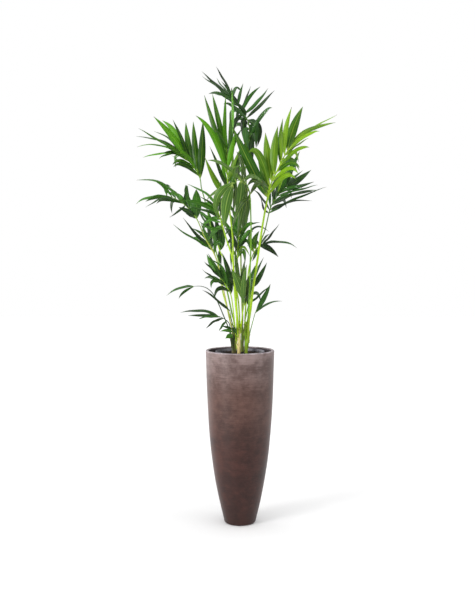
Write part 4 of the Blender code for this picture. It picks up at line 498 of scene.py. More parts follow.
def ease_apart(fronds, thick=0.0016, grow=0.0006, rounds=70, report=None):
    """moves leaflets that would cross nearer or farther, in small equal steps, until they are clear"""
    from mathutils.bvhtree import BVHTree
    parts = []                                           # (frond index, leaf or None)
    for fi, f in enumerate(fronds):
        parts.append((fi, None))
        for l in f.leaves: parts.append((fi, l))
    cache, hits = {}, {}
    for it in range(rounds):
        V, F, owner = [], [], []
        for pi, (fi, l) in enumerate(parts):
            f = fronds[fi]
            key = pi if l is None else (pi, round(l.mid_push, 4), round(l.tip_push, 4), l.w)
            if key not in cache:
                v, fc = [], []
                if l is None:
                    n = max(6, int(f.line.L / 0.03)); ring = []
                    for i in range(n + 1):
                        s = f.line.L * i / n
                        P = f.line.pos(s); T = f.line.tan(s); S, Vv = side_frame(P, T)
                        r = (frond_radius(f, s) + grow) * 1.02
                        for j in range(6):
                            a = math.radians(-30 + 60 * j)
                            v.append(P + r * (math.cos(a) * S + math.sin(a) * Vv))
                    for i in range(n):
                        for j in range(6):
                            a, b = i * 6 + j, i * 6 + (j + 1) % 6
                            fc += [(a, b, b + 6), (a, b + 6, a + 6)]
                else:
                    sec, tip = leaf_solid(f, l, thick, grow)
                    rows = [base_quad(f, l)] + sec
                    for r4 in rows: v += list(r4)
                    for i in range(len(rows) - 1):
                        for j in range(4):
                            a, b = i * 4 + j, i * 4 + (j + 1) % 4
                            fc += [(a, b, a + 4), (b, b + 4, a + 4)] if j in (0, 3) else [(a, b, b + 4), (a, b + 4, a + 4)]
                    v.append(tip); k = len(v) - 1; i = (len(rows) - 1) * 4
                    for j in range(4): fc.append((i + j, i + (j + 1) % 4, k))
                cache[key] = (np.array(v), np.array(fc))
            v, fc = cache[key]
            off = sum(len(x) for x in V)
            V.append(v); F.append(fc + off); owner += [(pi, i) for i in range(len(fc))]
        VV = np.concatenate(V); FF = np.concatenate(F)
        tree = BVHTree.FromPolygons([tuple(p) for p in VV], [tuple(int(i) for i in t) for t in FF])
        pairs = tree.overlap(tree)
        own = np.array([o[0] for o in owner]); loc = np.array([o[1] for o in owner])
        if not pairs: break
        A = np.array(pairs); A = A[own[A[:, 0]] < own[A[:, 1]]]
        cen = VV[FF].mean(axis=1)
        hits = {}
        for a, b in A:
            pa, pb = own[a], own[b]
            fa, la = parts[pa]; fb, lb = parts[pb]
            if fa == fb and la is None and loc[b] < 16: continue          # a leaflet's own claw
            if fa == fb and la is not None and lb is not None and loc[a] < 8 and loc[b] < 8 and not (la.extra or lb.extra): continue
            hits.setdefault((pa, pb), []).append((a, b))
        if report is not None: report.append(len(hits))
        if not hits: break
        for (pa, pb), tris in sorted(hits.items()):
            fa, la = parts[pa]; fb, lb = parts[pb]
            yc_a = float(np.mean([cen[a][1] for a, b in tris])); yc_b = float(np.mean([cen[b][1] for a, b in tris]))
            ka = max(loc[a] for a, b in tris) if la is not None else 0
            kb = max(loc[b] for a, b in tris) if lb is not None else 0
            ya, yb_ = yc_a, yc_b
            if la is not None and lb is not None:
                ya = f_depth(fronds[fa], la); yb_ = f_depth(fronds[fb], lb)
            sg = 1.0 if (ya, pa) > (yb_, pb) else -1.0
            step = 0.5 if it < 40 else 0.9
            for l, k, s in ((la, ka, sg), (lb, kb, -sg)):
                if l is None: continue
                if k < 24: l.mid_push += s * step
                else: l.mid_push += s * step * 0.5; l.tip_push += s * step
                l.mid_push = max(-9.0, min(9.0, l.mid_push)); l.tip_push = max(-16.0, min(16.0, l.tip_push))
    return hits, parts

def settle(fronds, report=None):
    """eases the leaflets apart; a backward or forward one that finds no room is left out"""
    for k in range(5):
        hits, parts = ease_apart(fronds, rounds=70 if k else 30, report=report)
        out = {id(l) for pair in hits for l in (parts[pair[0]][1], parts[pair[1]][1]) if l is not None and l.extra}
        if not out: break
        for f in fronds:
            f.leaves = [l for l in f.leaves if id(l) not in out]
            for q in f.slots: q[1] = {k: l for k, l in q[1].items() if id(l) not in out}
            f.slots = [q for q in f.slots if q[1]]
    return hits, parts

def f_depth(f, l):
    yb = f.line.pos(l.s)[1] * 100
    return yb + 0.5 * (l.dy * 0.42 + l.mid_push) + 0.5 * (l.dy + l.tip_push)

# ================================================================ helpers
def rnd_of(*key):
    """a fixed number from 0 to 1 for a key"""
    return random.Random('/'.join(str(k) for k in key)).random()

PIGMENT = 0.62                   # how much of the studio light a surface shown at a colour gives back
def lin(r, g, b, k=None):
    """the pigment of a surface that looks like this in the studio, 0-255"""
    def f(c):
        c /= 255.0
        return (c / 12.92 if c <= 0.04045 else ((c + 0.055) / 1.055) ** 2.4) * (PIGMENT if k is None else k)
    return (f(r), f(g), f(b), 1.0)

def grn(r, g, b, k=1.0):
    """the same for leaves and stalks, which pass light on to each other"""
    c = lin(r, g, b)
    return (c[0] * 1.55 * k, c[1] * 1.50 * k, c[2] * 0.85 * k, 1.0)

def between(a, b, k=0.5):
    """the colour part way from a to b"""
    return tuple(p + (q - p) * k for p, q in zip(a, b))

class Tree:
    """short hands for building a material's nodes"""
    def __init__(self, name):
        self.mat = bpy.data.materials.new(name)
        self.mat.use_nodes = True
        self.nt = self.mat.node_tree
        self.nt.nodes.clear()
        self.out = self.nt.nodes.new('ShaderNodeOutputMaterial')
    def put(self, sock, v):
        if isinstance(v, bpy.types.NodeSocket): self.nt.links.new(v, sock)
        elif v is not None: sock.default_value = v
    def add(self, kind, ins=None, **props):
        n = self.nt.nodes.new(kind)
        for k, v in props.items(): setattr(n, k, v)
        for k, v in (ins or {}).items(): self.put(n.inputs[k], v)
        return n
    def math(self, op, a, b=None, c=None, clamp=False):
        n = self.add('ShaderNodeMath', {0: a, 1: b, 2: c}, operation=op, use_clamp=clamp)
        return n.outputs[0]
    def mix(self, f, a, b, blend='MIX'):
        n = self.add('ShaderNodeMix', None, data_type='RGBA', blend_type=blend)
        self.put(n.inputs[0], f); self.put(n.inputs[6], a); self.put(n.inputs[7], b)
        return n.outputs[2]
    def mapr(self, v, a, b, c=0.0, d=1.0, smooth=True):
        n = self.add('ShaderNodeMapRange', {'Value': v, 'From Min': a, 'From Max': b, 'To Min': c, 'To Max': d},
                     interpolation_type='SMOOTHSTEP' if smooth else 'LINEAR', clamp=True)
        return n.outputs[0]
    def coord(self, kind='Object'):
        return self.add('ShaderNodeTexCoord').outputs[kind]
    def scaled(self, vec, s):
        return self.add('ShaderNodeMapping', {'Vector': vec, 'Scale': s}).outputs[0]
    def noise(self, vec, scale, detail=3.0, rough=0.55, dist=0.0):
        return self.add('ShaderNodeTexNoise', {'Vector': vec, 'Scale': scale, 'Detail': detail, 'Roughness': rough,
                                                'Distortion': dist}).outputs['Fac']
    def attr(self, name):
        return self.add('ShaderNodeAttribute', None, attribute_name=name).outputs['Fac']
    def bump(self, h, strength, dist, normal=None):
        n = self.add('ShaderNodeBump', {'Strength': strength, 'Distance': dist, 'Height': h})
        if normal is not None: self.put(n.inputs['Normal'], normal)
        return n.outputs[0]
    def principled(self, **ins):
        n = self.nt.nodes.new('ShaderNodeBsdfPrincipled')
        for k, v in ins.items(): self.put(n.inputs[k.replace('_', ' ')], v)
        return n
    def done(self, shader):
        self.nt.links.new(shader, self.out.inputs['Surface'])
        return self.mat

def make_object(name, V, F, mats, mat_index=None, uv=None, attrs=None, smooth=True, sharp=None):
    """a mesh from arrays; uv and attrs are per vertex"""
    me = bpy.data.meshes.new(name)
    me.from_pydata([tuple(map(float, v)) for v in V], [], [tuple(int(i) for i in f) for f in F])
    for m in mats: me.materials.append(m)
    if mat_index is not None: me.polygons.foreach_set('material_index', np.asarray(mat_index, np.int32))
    if uv is not None:
        lay = me.uv_layers.new(name='UVMap')
        li = np.zeros(len(me.loops), np.int32); me.loops.foreach_get('vertex_index', li)
        lay.data.foreach_set('uv', np.asarray(uv, np.float32)[li].ravel())
    for k, a in (attrs or {}).items():
        at_ = me.attributes.new(k, 'FLOAT', 'POINT')
        at_.data.foreach_set('value', np.asarray(a, np.float32))
    if smooth:
        me.shade_smooth()
        if sharp: me.set_sharp_from_angle(angle=math.radians(sharp))
    me.update()
    ob = bpy.data.objects.new(name, me)
    bpy.context.scene.collection.objects.link(ob)
    return ob

class Pile:
    """collects closed pieces of one mesh"""
    def __init__(self):
        self.V, self.F, self.M, self.UV, self.A = [], [], [], [], {}
    def add(self, v, f, m, uv, **attrs):
        off = len(self.V)
        self.V += [tuple(p) for p in v]
        self.F += [tuple(i + off for i in q) for q in f]
        self.M += [m] * len(f)
        self.UV += list(uv)
        for k, a in attrs.items():
            self.A.setdefault(k, [])
            self.A[k] += list(np.broadcast_to(a, len(v)))
    def build(self, name, mats, **kw):
        return make_object(name, self.V, self.F, mats, self.M, self.UV, self.A, **kw)

def rings_mesh(rings, close_start=True, close_end=True, tip=None, flip=False):
    """a closed skin over rings of equal count; tip is a last point"""
    V, F = [], []
    m = len(rings[0])
    for r in rings: V += [tuple(p) for p in r]
    n = len(rings)
    for i in range(n - 1):
        for j in range(m):
            a, b = i * m + j, i * m + (j + 1) % m
            F.append((a, b, b + m, a + m))
    if close_start: F.append(tuple(range(m))[::-1])
    if tip is not None:
        V.append(tuple(tip)); k = len(V) - 1
        for j in range(m): F.append(((n - 1) * m + j, (n - 1) * m + (j + 1) % m, k))
    elif close_end: F.append(tuple((n - 1) * m + j for j in range(m)))
    if flip: F = [f[::-1] for f in F]
    return V, F

def lathe(name, outline, mats, seg=160, wobble=None, sharp=40):
    """a solid of revolution; the outline runs from the axis round to the axis"""
    V, F, UV = [], [], []
    idx = []
    acc = 0.0
    for k, (r, z) in enumerate(outline):
        if k: acc += math.hypot(r - outline[k - 1][0], z - outline[k - 1][1])
        if r < 1e-7:
            idx.append([len(V)]); V.append((0, 0, z)); UV.append((0.5, acc))
        else:
            row = []
            for i in range(seg):
                a = 2 * math.pi * i / seg
                rr, zz = (r, z) if wobble is None else wobble(r, z, a)
                row.append(len(V)); V.append((rr * math.cos(a), rr * math.sin(a), zz)); UV.append((i / seg, acc))
            idx.append(row)
    for A, B in zip(idx, idx[1:]):
        for i in range(seg):
            j = (i + 1) % seg
            if len(A) == 1: F.append((A[0], B[j], B[i]))
            elif len(B) == 1: F.append((A[i], A[j], B[0]))
            else: F.append((A[i], A[j], B[j], B[i]))
    ob = make_object(name, V, F, mats, uv=UV, sharp=sharp)
    bm = bmesh.new(); bm.from_mesh(ob.data)
    bmesh.ops.recalc_face_normals(bm, faces=bm.faces)
    bm.to_mesh(ob.data); bm.free()
    return ob

def arc(cx, cz, r, a0, a1, n):
    """points of a turned profile's rounding"""
    return [(cx + r * math.cos(math.radians(a0 + (a1 - a0) * i / n)),
             cz + r * math.sin(math.radians(a0 + (a1 - a0) * i / n))) for i in range(n + 1)]

# ================================================================ materials
def leaf_material(name, dark, light, pale, gloss, translucent, edge=0.0):
    t = Tree(name)
    uv = t.coord('UV')
    sep = t.add('ShaderNodeSeparateXYZ', {0: uv})
    u, v = sep.outputs[0], sep.outputs[1]
    rnd, under, base = t.attr('leaf_rnd'), t.attr('leaf_under'), t.attr('leaf_tone')
    across = t.math('ABSOLUTE', t.math('SUBTRACT', v, 0.5))                      # 0 at the midrib, 0.5 at the margin
    obj = t.coord('Object')
    big = t.noise(obj, 7.0, 2.0)
    streak = t.noise(t.scaled(uv, (3.5, 46.0, 1.0)), 1.0, 3.0, 0.6, 0.15)
    fine = t.noise(t.scaled(uv, (26.0, 150.0, 1.0)), 1.0, 2.0)
    ribs = t.math('SINE', t.math('MULTIPLY', v, 2 * math.pi * 11))
    ribs = t.math('MULTIPLY', t.math('ADD', ribs, 1.0), 0.5)
    f = t.math('ADD', t.math('MULTIPLY', rnd, 0.62), t.math('MULTIPLY', big, 0.62))
    f = t.math('ADD', f, t.math('MULTIPLY', streak, 0.42))
    f = t.math('ADD', f, t.math('MULTIPLY', ribs, 0.10))
    f = t.math('ADD', f, t.math('MULTIPLY', base, 0.6))
    f = t.mapr(f, 0.58, 1.22)
    col = t.mix(f, dark, light)
    rib = t.mapr(across, 0.012, 0.045, 1.0, 0.0)
    side = t.mapr(t.math('ABSOLUTE', t.math('SUBTRACT', across, 0.25)), 0.006, 0.022, 0.45, 0.0)
    col = t.mix(t.math('MULTIPLY', t.math('MAXIMUM', rib, side), 0.55), col, pale)
    col = t.mix(t.mapr(u, 0.10, 0.0, 0.0, 0.75), col, pale)
    if edge: col = t.mix(t.math('MULTIPLY', t.mapr(across, 0.44, 0.49), edge), col, pale)
    col = t.mix(t.math('MULTIPLY', under, 0.38), col, between(light, pale))
    tip = t.math('MULTIPLY', t.mapr(t.math('ADD', u, t.math('MULTIPLY', fine, 0.03)), 0.955, 1.0), t.mapr(rnd, 0.35, 0.6))
    col = t.mix(tip, col, lin(126, 98, 52))
    spot = t.mapr(t.noise(obj, 160.0, 1.0), 0.70, 0.76, 0.0, 0.35)
    col = t.mix(spot, col, between(dark, lin(96, 88, 40)))
    rough = t.math('ADD', gloss, t.math('MULTIPLY', streak, 0.16))
    rough = t.math('ADD', rough, t.math('MULTIPLY', under, 0.18))
    h = t.math('ADD', t.math('MULTIPLY', ribs, 0.45), t.math('MULTIPLY', streak, 0.5))
    h = t.math('ADD', h, t.math('MULTIPLY', fine, 0.25))
    h = t.math('SUBTRACT', h, t.math('MULTIPLY', t.math('MAXIMUM', rib, side), 0.6))
    nrm = t.bump(h, 0.45, 0.0007)
    p = t.principled(Base_Color=col, Roughness=rough, Specular_IOR_Level=0.32, Normal=nrm)
    tr = t.add('ShaderNodeBsdfTranslucent', {'Color': t.mix(0.30, col, pale), 'Normal': nrm})
    m = t.add('ShaderNodeMixShader', {0: translucent, 1: p.outputs[0], 2: tr.outputs[0]})
    return t.done(m.outputs[0])

def stalk_material(name, foot, mid, tip, shade):
    """smooth ribbed stalk: foot colour, then the stalk's, then the rachis's; shade is its darker streaks"""
    t = Tree(name)
    uv = t.coord('UV')
    sep = t.add('ShaderNodeSeparateXYZ', {0: uv})
    u, v = sep.outputs[0], sep.outputs[1]
    obj = t.coord('Object')
    streak = t.noise(t.scaled(uv, (5.0, 26.0, 1.0)), 1.0, 3.0, 0.6, 0.2)
    fine = t.noise(t.scaled(uv, (40.0, 110.0, 1.0)), 1.0, 2.0)
    big = t.noise(obj, 9.0, 2.0)
    col = t.mix(t.mapr(t.math('ADD', u, t.math('MULTIPLY', streak, 0.06)), 0.02, 0.22), foot, mid)
    col = t.mix(t.mapr(u, 0.45, 0.85), col, tip)
    col = t.mix(t.mapr(t.math('ADD', t.math('MULTIPLY', streak, 0.6), t.math('MULTIPLY', big, 0.5)), 0.50, 0.78, 0.0, 0.75), col, shade)
    dots = t.mapr(t.noise(obj, 420.0, 1.0), 0.66, 0.74, 0.0, 0.5)
    col = t.mix(dots, col, between(shade, lin(150, 140, 95)))
    h = t.math('ADD', t.math('MULTIPLY', streak, 0.6), t.math('MULTIPLY', fine, 0.3))
    nrm = t.bump(h, 0.35, 0.0006)
    rough = t.math('ADD', 0.30, t.math('MULTIPLY', streak, 0.22))
    p = t.principled(Base_Color=col, Roughness=rough, Specular_IOR_Level=0.35, Normal=nrm)
    return t.done(p.outputs[0])

def sheath_material(name, low, high, fibre):
    """fibrous leaf base: low colour near the soil, high colour above, with long fibres"""
    t = Tree(name)
    uv = t.coord('UV')
    sep = t.add('ShaderNodeSeparateXYZ', {0: uv})
    u = sep.outputs[0]
    obj = t.coord('Object')
    z = t.add('ShaderNodeSeparateXYZ', {0: obj}).outputs[2]
    streak = t.noise(t.scaled(uv, (3.0, 42.0, 1.0)), 1.0, 4.0, 0.65, 0.25)
    weave = t.noise(t.scaled(uv, (14.0, 120.0, 1.0)), 1.0, 2.0)
    big = t.noise(obj, 30.0, 3.0)
    col = t.mix(t.mapr(t.math('ADD', z, t.math('MULTIPLY', big, 0.05)), 0.895, 0.975), low, high)
    col = t.mix(t.mapr(streak, 0.52, 0.70, 0.0, 0.8), col, fibre)
    col = t.mix(t.mapr(big, 0.60, 0.72, 0.0, 0.55), col, lin(92, 70, 44))
    edge = t.attr('torn')
    col = t.mix(edge, col, lin(120, 88, 52))
    h = t.math('ADD', t.math('MULTIPLY', streak, 0.8), t.math('MULTIPLY', weave, 0.4))
    nrm = t.bump(h, 0.55, 0.0010)
    rough = t.math('ADD', 0.42, t.math('MULTIPLY', streak, 0.28))
    p = t.principled(Base_Color=col, Roughness=rough, Specular_IOR_Level=0.4, Normal=nrm)
    return t.done(p.outputs[0])

def planter_material():
    t = Tree('planter_brown_finish')
    obj = t.coord('Object')
    sep = t.add('ShaderNodeSeparateXYZ', {0: obj})
    x, y, z = sep.outputs
    ang = t.math('ARCTAN2', y, x)
    wrap = t.add('ShaderNodeCombineXYZ', {0: t.math('MULTIPLY', t.math('COSINE', ang), 1.0), 1: t.math('MULTIPLY', t.math('SINE', ang), 1.0), 2: z}).outputs[0]
    cloud = t.noise(obj, 5.5, 4.0, 0.6)
    mottle = t.noise(obj, 34.0, 4.0, 0.62)
    grain = t.noise(t.scaled(wrap, (3.0, 3.0, 260.0)), 1.0, 3.0, 0.6)               # fine level streaks, as if brushed round
    weft = t.noise(t.scaled(wrap, (60.0, 60.0, 40.0)), 1.0, 2.0)
    speck = t.noise(obj, 620.0, 2.0, 0.7)
    band = t.noise(t.scaled(wrap, (0.6, 0.6, 16.0)), 1.0, 2.0)
    f = t.math('ADD', t.math('MULTIPLY', cloud, 0.7), t.math('MULTIPLY', mottle, 0.35))
    f = t.math('ADD', f, t.math('MULTIPLY', grain, 0.30))
    f = t.math('ADD', f, t.math('MULTIPLY', band, 0.35))
    tone = t.mapr(f, 0.70, 1.02)
    # painted light and shade: the colour runs from dark at the foot to pale at the rim, partly the planter's own tone
    # and partly painted light from above on its upper part and painted shade lower down
    col = t.mix(tone, PLANTER_DARK, PLANTER_LIGHT)
    col = t.mix(t.mapr(z, 0.36, 0.70), col, t.mix(tone, PLANTER_MID_D, PLANTER_MID_L))
    col = t.mix(t.mapr(z, 0.66, 0.93), col, t.mix(tone, PLANTER_TOP_D, PLANTER_TOP_L))
    col = t.mix(t.mapr(speck, 0.60, 0.75, 0.0, 0.35), col, lin(168, 146, 138))
    col = t.mix(t.mapr(speck, 0.40, 0.28, 0.0, 0.35), col, lin(46, 32, 30))
    # painted shade: the lowest 15 cm are darkened towards the foot
    col = t.mix(t.mapr(z, 0.15, 0.0, 0.0, 0.55), col, lin(38, 19, 15))
    # the lip is painted pale along its top and rounded edge, a painted highlight; the foot's edge is rubbed paler in
    # places
    col = t.mix(t.mapr(z, 0.8935, 0.8985, 0.0, 0.85), col, t.mix(t.mapr(mottle, 0.42, 0.60), lin(176, 160, 164), lin(226, 214, 220)))
    rub = t.math('MULTIPLY', t.mapr(z, 0.010, 0.001), t.mapr(mottle, 0.48, 0.60))
    col = t.mix(t.math('MULTIPLY', rub, 0.4), col, lin(150, 128, 120))
    rough = t.math('ADD', 0.36, t.math('MULTIPLY', mottle, 0.20))
    rough = t.math('ADD', rough, t.math('MULTIPLY', t.math('SUBTRACT', grain, 0.5), 0.12))
    h = t.math('ADD', t.math('MULTIPLY', grain, 0.5), t.math('MULTIPLY', weft, 0.35))
    h = t.math('ADD', h, t.math('MULTIPLY', speck, 0.25))
    h = t.math('ADD', h, t.math('MULTIPLY', mottle, 0.5))
    nrm = t.bump(h, 0.30, 0.0009)
    p = t.principled(Base_Color=col, Roughness=rough, Specular_IOR_Level=0.20, Coat_Weight=0.22, Coat_Roughness=0.24, Normal=nrm)
    return t.done(p.outputs[0])

def planter_inner_material():
    """the unglazed inside"""
    t = Tree('planter_inner_finish')
    obj = t.coord('Object')
    z = t.add('ShaderNodeSeparateXYZ', {0: obj}).outputs[2]
    n1 = t.noise(obj, 9.0, 4.0)
    n2 = t.noise(obj, 130.0, 4.0, 0.7)
    col = t.mix(t.mapr(n1, 0.35, 0.65), lin(92, 78, 84), lin(124, 110, 118))
    col = t.mix(t.mapr(n2, 0.56, 0.74, 0.0, 0.5), col, lin(150, 138, 144))
    # painted shade: the inside is darkened deeper down, below the lip
    col = t.mix(t.mapr(z, 0.82, 0.70), col, lin(62, 50, 50))
    h = t.math('ADD', n2, t.math('MULTIPLY', n1, 0.4))
    nrm = t.bump(h, 0.5, 0.0012)
    p = t.principled(Base_Color=col, Roughness=t.math('ADD', 0.62, t.math('MULTIPLY', n2, 0.25)), Specular_IOR_Level=0.25, Normal=nrm)
    return t.done(p.outputs[0])

def plastic_material():
    t = Tree('nursery_pot_plastic')
    obj = t.coord('Object')
    n1 = t.noise(obj, 22.0, 3.0)
    n2 = t.noise(obj, 900.0, 2.0)
    dust = t.noise(obj, 60.0, 4.0, 0.7)
    z = t.add('ShaderNodeSeparateXYZ', {0: obj}).outputs[2]
    # painted light: the dark plastic is coloured pale lilac-grey, standing in for the light its inner wall catches
    col = t.mix(n1, lin(112, 108, 120), lin(160, 156, 170))
    col = t.mix(t.mapr(dust, 0.48, 0.72, 0.0, 0.45), col, lin(120, 110, 104))
    splash = t.math('MULTIPLY', t.mapr(z, 0.893, 0.880), t.mapr(dust, 0.42, 0.60))
    col = t.mix(t.math('MULTIPLY', splash, 0.6), col, lin(70, 54, 40))
    rough = t.math('ADD', 0.34, t.math('MULTIPLY', dust, 0.25))
    nrm = t.bump(t.math('ADD', t.math('MULTIPLY', n2, 0.3), n1), 0.2, 0.0004)
    p = t.principled(Base_Color=col, Roughness=rough, Normal=nrm)
    return t.done(p.outputs[0])

def soil_material(name, a, b, c, sc=1.0):
    t = Tree(name)
    obj = t.coord('Object')
    n1 = t.noise(obj, 70.0 * sc, 5.0, 0.7)
    n2 = t.noise(obj, 320.0 * sc, 4.0, 0.7)
    rnd = t.attr('bit')
    col = t.mix(t.mapr(n1, 0.35, 0.65), a, b)
    col = t.mix(t.mapr(n2, 0.55, 0.72, 0.0, 0.8), col, c)
    col = t.mix(t.math('MULTIPLY', rnd, 0.55), col, c)
    h = t.math('ADD', n1, t.math('MULTIPLY', n2, 0.5))
    nrm = t.bump(h, 0.8, 0.0016)
    p = t.principled(Base_Color=col, Roughness=t.math('ADD', 0.78, t.math('MULTIPLY', n2, 0.2)), Specular_IOR_Level=0.25, Normal=nrm)
    return t.done(p.outputs[0])

# planter colours from the foot up to the rim: partly its own tone, partly painted light on the upper part and painted
# shade lower down
PLANTER_DARK, PLANTER_LIGHT = lin(50, 22, 17), lin(80, 43, 35)
PLANTER_MID_D, PLANTER_MID_L = lin(82, 54, 47), lin(116, 84, 75)
PLANTER_TOP_D, PLANTER_TOP_L = lin(110, 88, 84), lin(170, 148, 145)

# the 'dark' tone is partly painted shade for fronds at the back of the crown, and the 'bright' tone partly painted
# light for sunlit, translucent fronds; both are also the leaflets' own green
LEAF = {
    'dark': leaf_material('leaf_dark_finish', grn(8, 34, 8), grn(42, 96, 26), grn(96, 142, 62), 0.27, 0.14),
    'deep': leaf_material('leaf_deep_finish', grn(10, 46, 8), grn(60, 122, 26), grn(112, 158, 62), 0.28, 0.18),
    'mid': leaf_material('leaf_mid_finish', grn(16, 64, 4), grn(90, 160, 12), grn(150, 196, 66), 0.28, 0.22),
    'grey': leaf_material('leaf_grey_finish', grn(24, 58, 18), grn(68, 112, 40), grn(172, 200, 124), 0.34, 0.14, edge=0.6),
    'bright': leaf_material('leaf_bright_finish', grn(42, 98, 8), grn(130, 178, 38), grn(184, 212, 96), 0.30, 0.24),
}
STALK = {
    'lime': stalk_material('stalk_lime', grn(142, 166, 34), grn(160, 200, 12), grn(140, 184, 22), grn(88, 126, 6)),
    'green': stalk_material('stalk_green', grn(118, 144, 28), grn(104, 158, 14), grn(88, 142, 22), grn(52, 92, 8)),
    'olive': stalk_material('stalk_olive', grn(128, 144, 22), grn(116, 148, 10), grn(72, 116, 18), grn(60, 76, 6)),
    'cream': stalk_material('stalk_cream', grn(168, 166, 88), grn(176, 186, 104), grn(114, 154, 50), grn(126, 140, 58)),
    'dark': stalk_material('stalk_dark', grn(70, 92, 30), grn(30, 66, 18), grn(24, 58, 18), grn(14, 34, 10)),
}
SHEATH = {
    'green': sheath_material('sheath_green', grn(128, 150, 38), grn(134, 184, 22), grn(92, 134, 14)),
    'tan': sheath_material('sheath_tan', lin(204, 176, 108, 0.80), lin(240, 226, 150, 0.85), lin(166, 134, 78, 0.80)),
    'dark': sheath_material('sheath_dark', lin(140, 124, 72), lin(50, 84, 26), lin(38, 52, 18)),
    'olive': sheath_material('sheath_olive', grn(98, 104, 36), grn(92, 124, 22), grn(52, 74, 10)),
}
STEM_LOOK = {'stem_a': 'green', 'stem_b': 'tan', 'stem_c': 'dark', 'stem_d': 'olive', 'stem_e': 'olive'}
STALK_LOOK = {'frond_top': 'olive', 'frond_left_upright': 'lime', 'frond_left_upper': 'green', 'frond_left_lower': 'cream',
              'frond_left_front': 'lime', 'frond_right_front': 'lime', 'frond_right_back': 'olive', 'frond_front_centre': 'green',
              'frond_right_mid': 'lime', 'frond_left_back': 'lime', 'frond_left_low': 'lime', 'frond_centre_low': 'lime',
              'frond_centre_mid': 'lime', 'frond_left_mid': 'lime', 'frond_back_right': 'green', 'frond_right_low': 'green',
              'seedling_leaf_left': 'dark', 'seedling_leaf_centre': 'dark', 'frond_lowest_left': 'dark', 'basal_shoot': 'dark'}

# ================================================================ fronds
ACROSS = 6                       # quads across the top of a blade
ALONG = 18                       # rings along it

def blade(f, l, fi):
    """one leaflet: a closed thin skin, folded along its midrib, with a drawn-out tip"""
    n = 48
    P, D, U, N, w, L, W = leaf_curve(f, l, n)
    key = (f.name, l.k)
    r1, r2, r3 = rnd_of(key, 'a'), rnd_of(key, 'b'), rnd_of(key, 'c')
    ts = [0.0, 0.02, 0.05, 0.09] + list(np.linspace(0.14, 0.94, ALONG - 7)) + [0.965, 0.985]
    S, V = side_frame(f.line.pos(l.s), f.line.tan(l.s))
    rings, uvs = [], []
    under = []
    for t in ts:
        x = t * n
        i = min(int(x), n - 1); k = x - i
        def m(a): return a[i] * (1 - k) + a[i + 1] * k
        p, u, nn, ww = m(P), unit(m(U)), unit(m(N)), float(m(w))
        if t < 0.03: p = p - S * l.side * 0.0012 * (1 - t / 0.03)
        hw = max(ww * 0.5, 0.0011 + 0.002 * (1 - t))
        fold = 0.62 * math.exp(-t / 0.10) + 0.20 + 0.06 * (r1 - 0.5)            # how steep the two halves are
        if t > 0.8: fold += 0.25 * (t - 0.8) / 0.2
        sway = 0.0022 * math.sin(2 * math.pi * (t * (1.1 + 0.9 * r2) + r3)) * min(1, t / 0.2)
        curl = 0.05 * math.sin(2 * math.pi * (t * (1.6 + r1) + r2))
        th = (0.00028 + 0.0005 * math.exp(-t / 0.06)) * (1 - 0.5 * t)
        top, bot = [], []
        for j in range(ACROSS + 1):
            v = -1 + 2 * j / ACROSS
            a = abs(v)
            h = fold * hw * (1 - math.sqrt(a * a + 0.012)) + curl * hw * (a ** 2) * (1 if v > 0 else -0.6) + sway
            h -= 0.10 * hw * max(0, a - 0.55) ** 2 * 4                              # margins bend down a little
            c = p + u * (v * hw * math.cos(min(fold, 1.0) * 0.7)) + nn * h
            top.append(c + nn * (th * 0.5 if a < 1 else 0))
            rib = 0.0007 * math.exp(-(v / 0.10) ** 2) * (1 - t)
            if 0 < j < ACROSS: bot.append(c - nn * (th * 0.5 + rib))
        ring = top + bot[::-1]
        rings.append(ring)
        for j in range(ACROSS + 1): uvs.append((t, j / ACROSS)); under.append(0.0)
        for j in range(ACROSS - 1, 0, -1): uvs.append((t, j / ACROSS)); under.append(1.0)
    tip = P[n] + unit(N[n]) * 0.0022 * math.sin(2 * math.pi * ((1.1 + 0.9 * r2) + r3))
    v, fc = rings_mesh(rings, tip=tip, flip=True)
    uvs.append((1.0, 0.5)); under.append(0.0)
    rel = (l.s - f.s_blade) / max(0.02, f.line.L - f.s_blade)
    return v, fc, uvs, np.array(under), r1, rel

def tube_frame(T, P, stem):
    """which way the stalk's channel faces: inwards to the stem, and up"""
    sx, sy = STEMS[stem][:2]
    a = np.array([sx * 0.01 - P[0], sy * 0.01 - P[1], 0.0])
    a = a / max(0.12, np.linalg.norm(a)) * 0.7 + np.array([0.0, 0.0, 0.5])
    a = unit(a - T * float(a @ T))
    return a, np.cross(T, a)

def stalk(f):
    s_end = f.slots[-1][0] + 0.006
    ss = list(np.arange(0.0, 0.06, 0.010)) + list(np.linspace(0.06, f.s_blade, max(8, int(f.s_blade / 0.022))))
    ss += list(np.linspace(f.s_blade + 0.006, s_end, max(8, int((s_end - f.s_blade) / 0.008))))
    m = 14
    rings, uvs = [], []
    for s in ss:
        P, T = f.line.pos(s), f.line.tan(s)
        A, B = tube_frame(T, P, f.stem)
        r = frond_radius(f, s)
        node = sum(math.exp(-((s - q[0]) / 0.0035) ** 2) for q in f.slots)
        r *= 1 + 0.16 * min(1.2, node)
        flare = math.exp(-s / 0.020)
        ring = []
        for j in range(m):
            a = 2 * math.pi * j / m
            da = min(a, 2 * math.pi - a)
            rr = r * (1 - 0.30 * math.exp(-(da / 0.60) ** 2)) * (1 + 0.05 * math.cos(3 * a))
            ring.append(P + rr * (math.cos(a) * A + math.sin(a) * B * (1 + 0.5 * flare)))
            uvs.append((s / f.line.L, j / m))
        rings.append(ring)
    tipP = f.line.pos(min(s_end + 0.003, f.line.L))
    v, fc = rings_mesh(rings, tip=tipP)
    uvs.append((1.0, 0.5))
    return v, fc, uvs

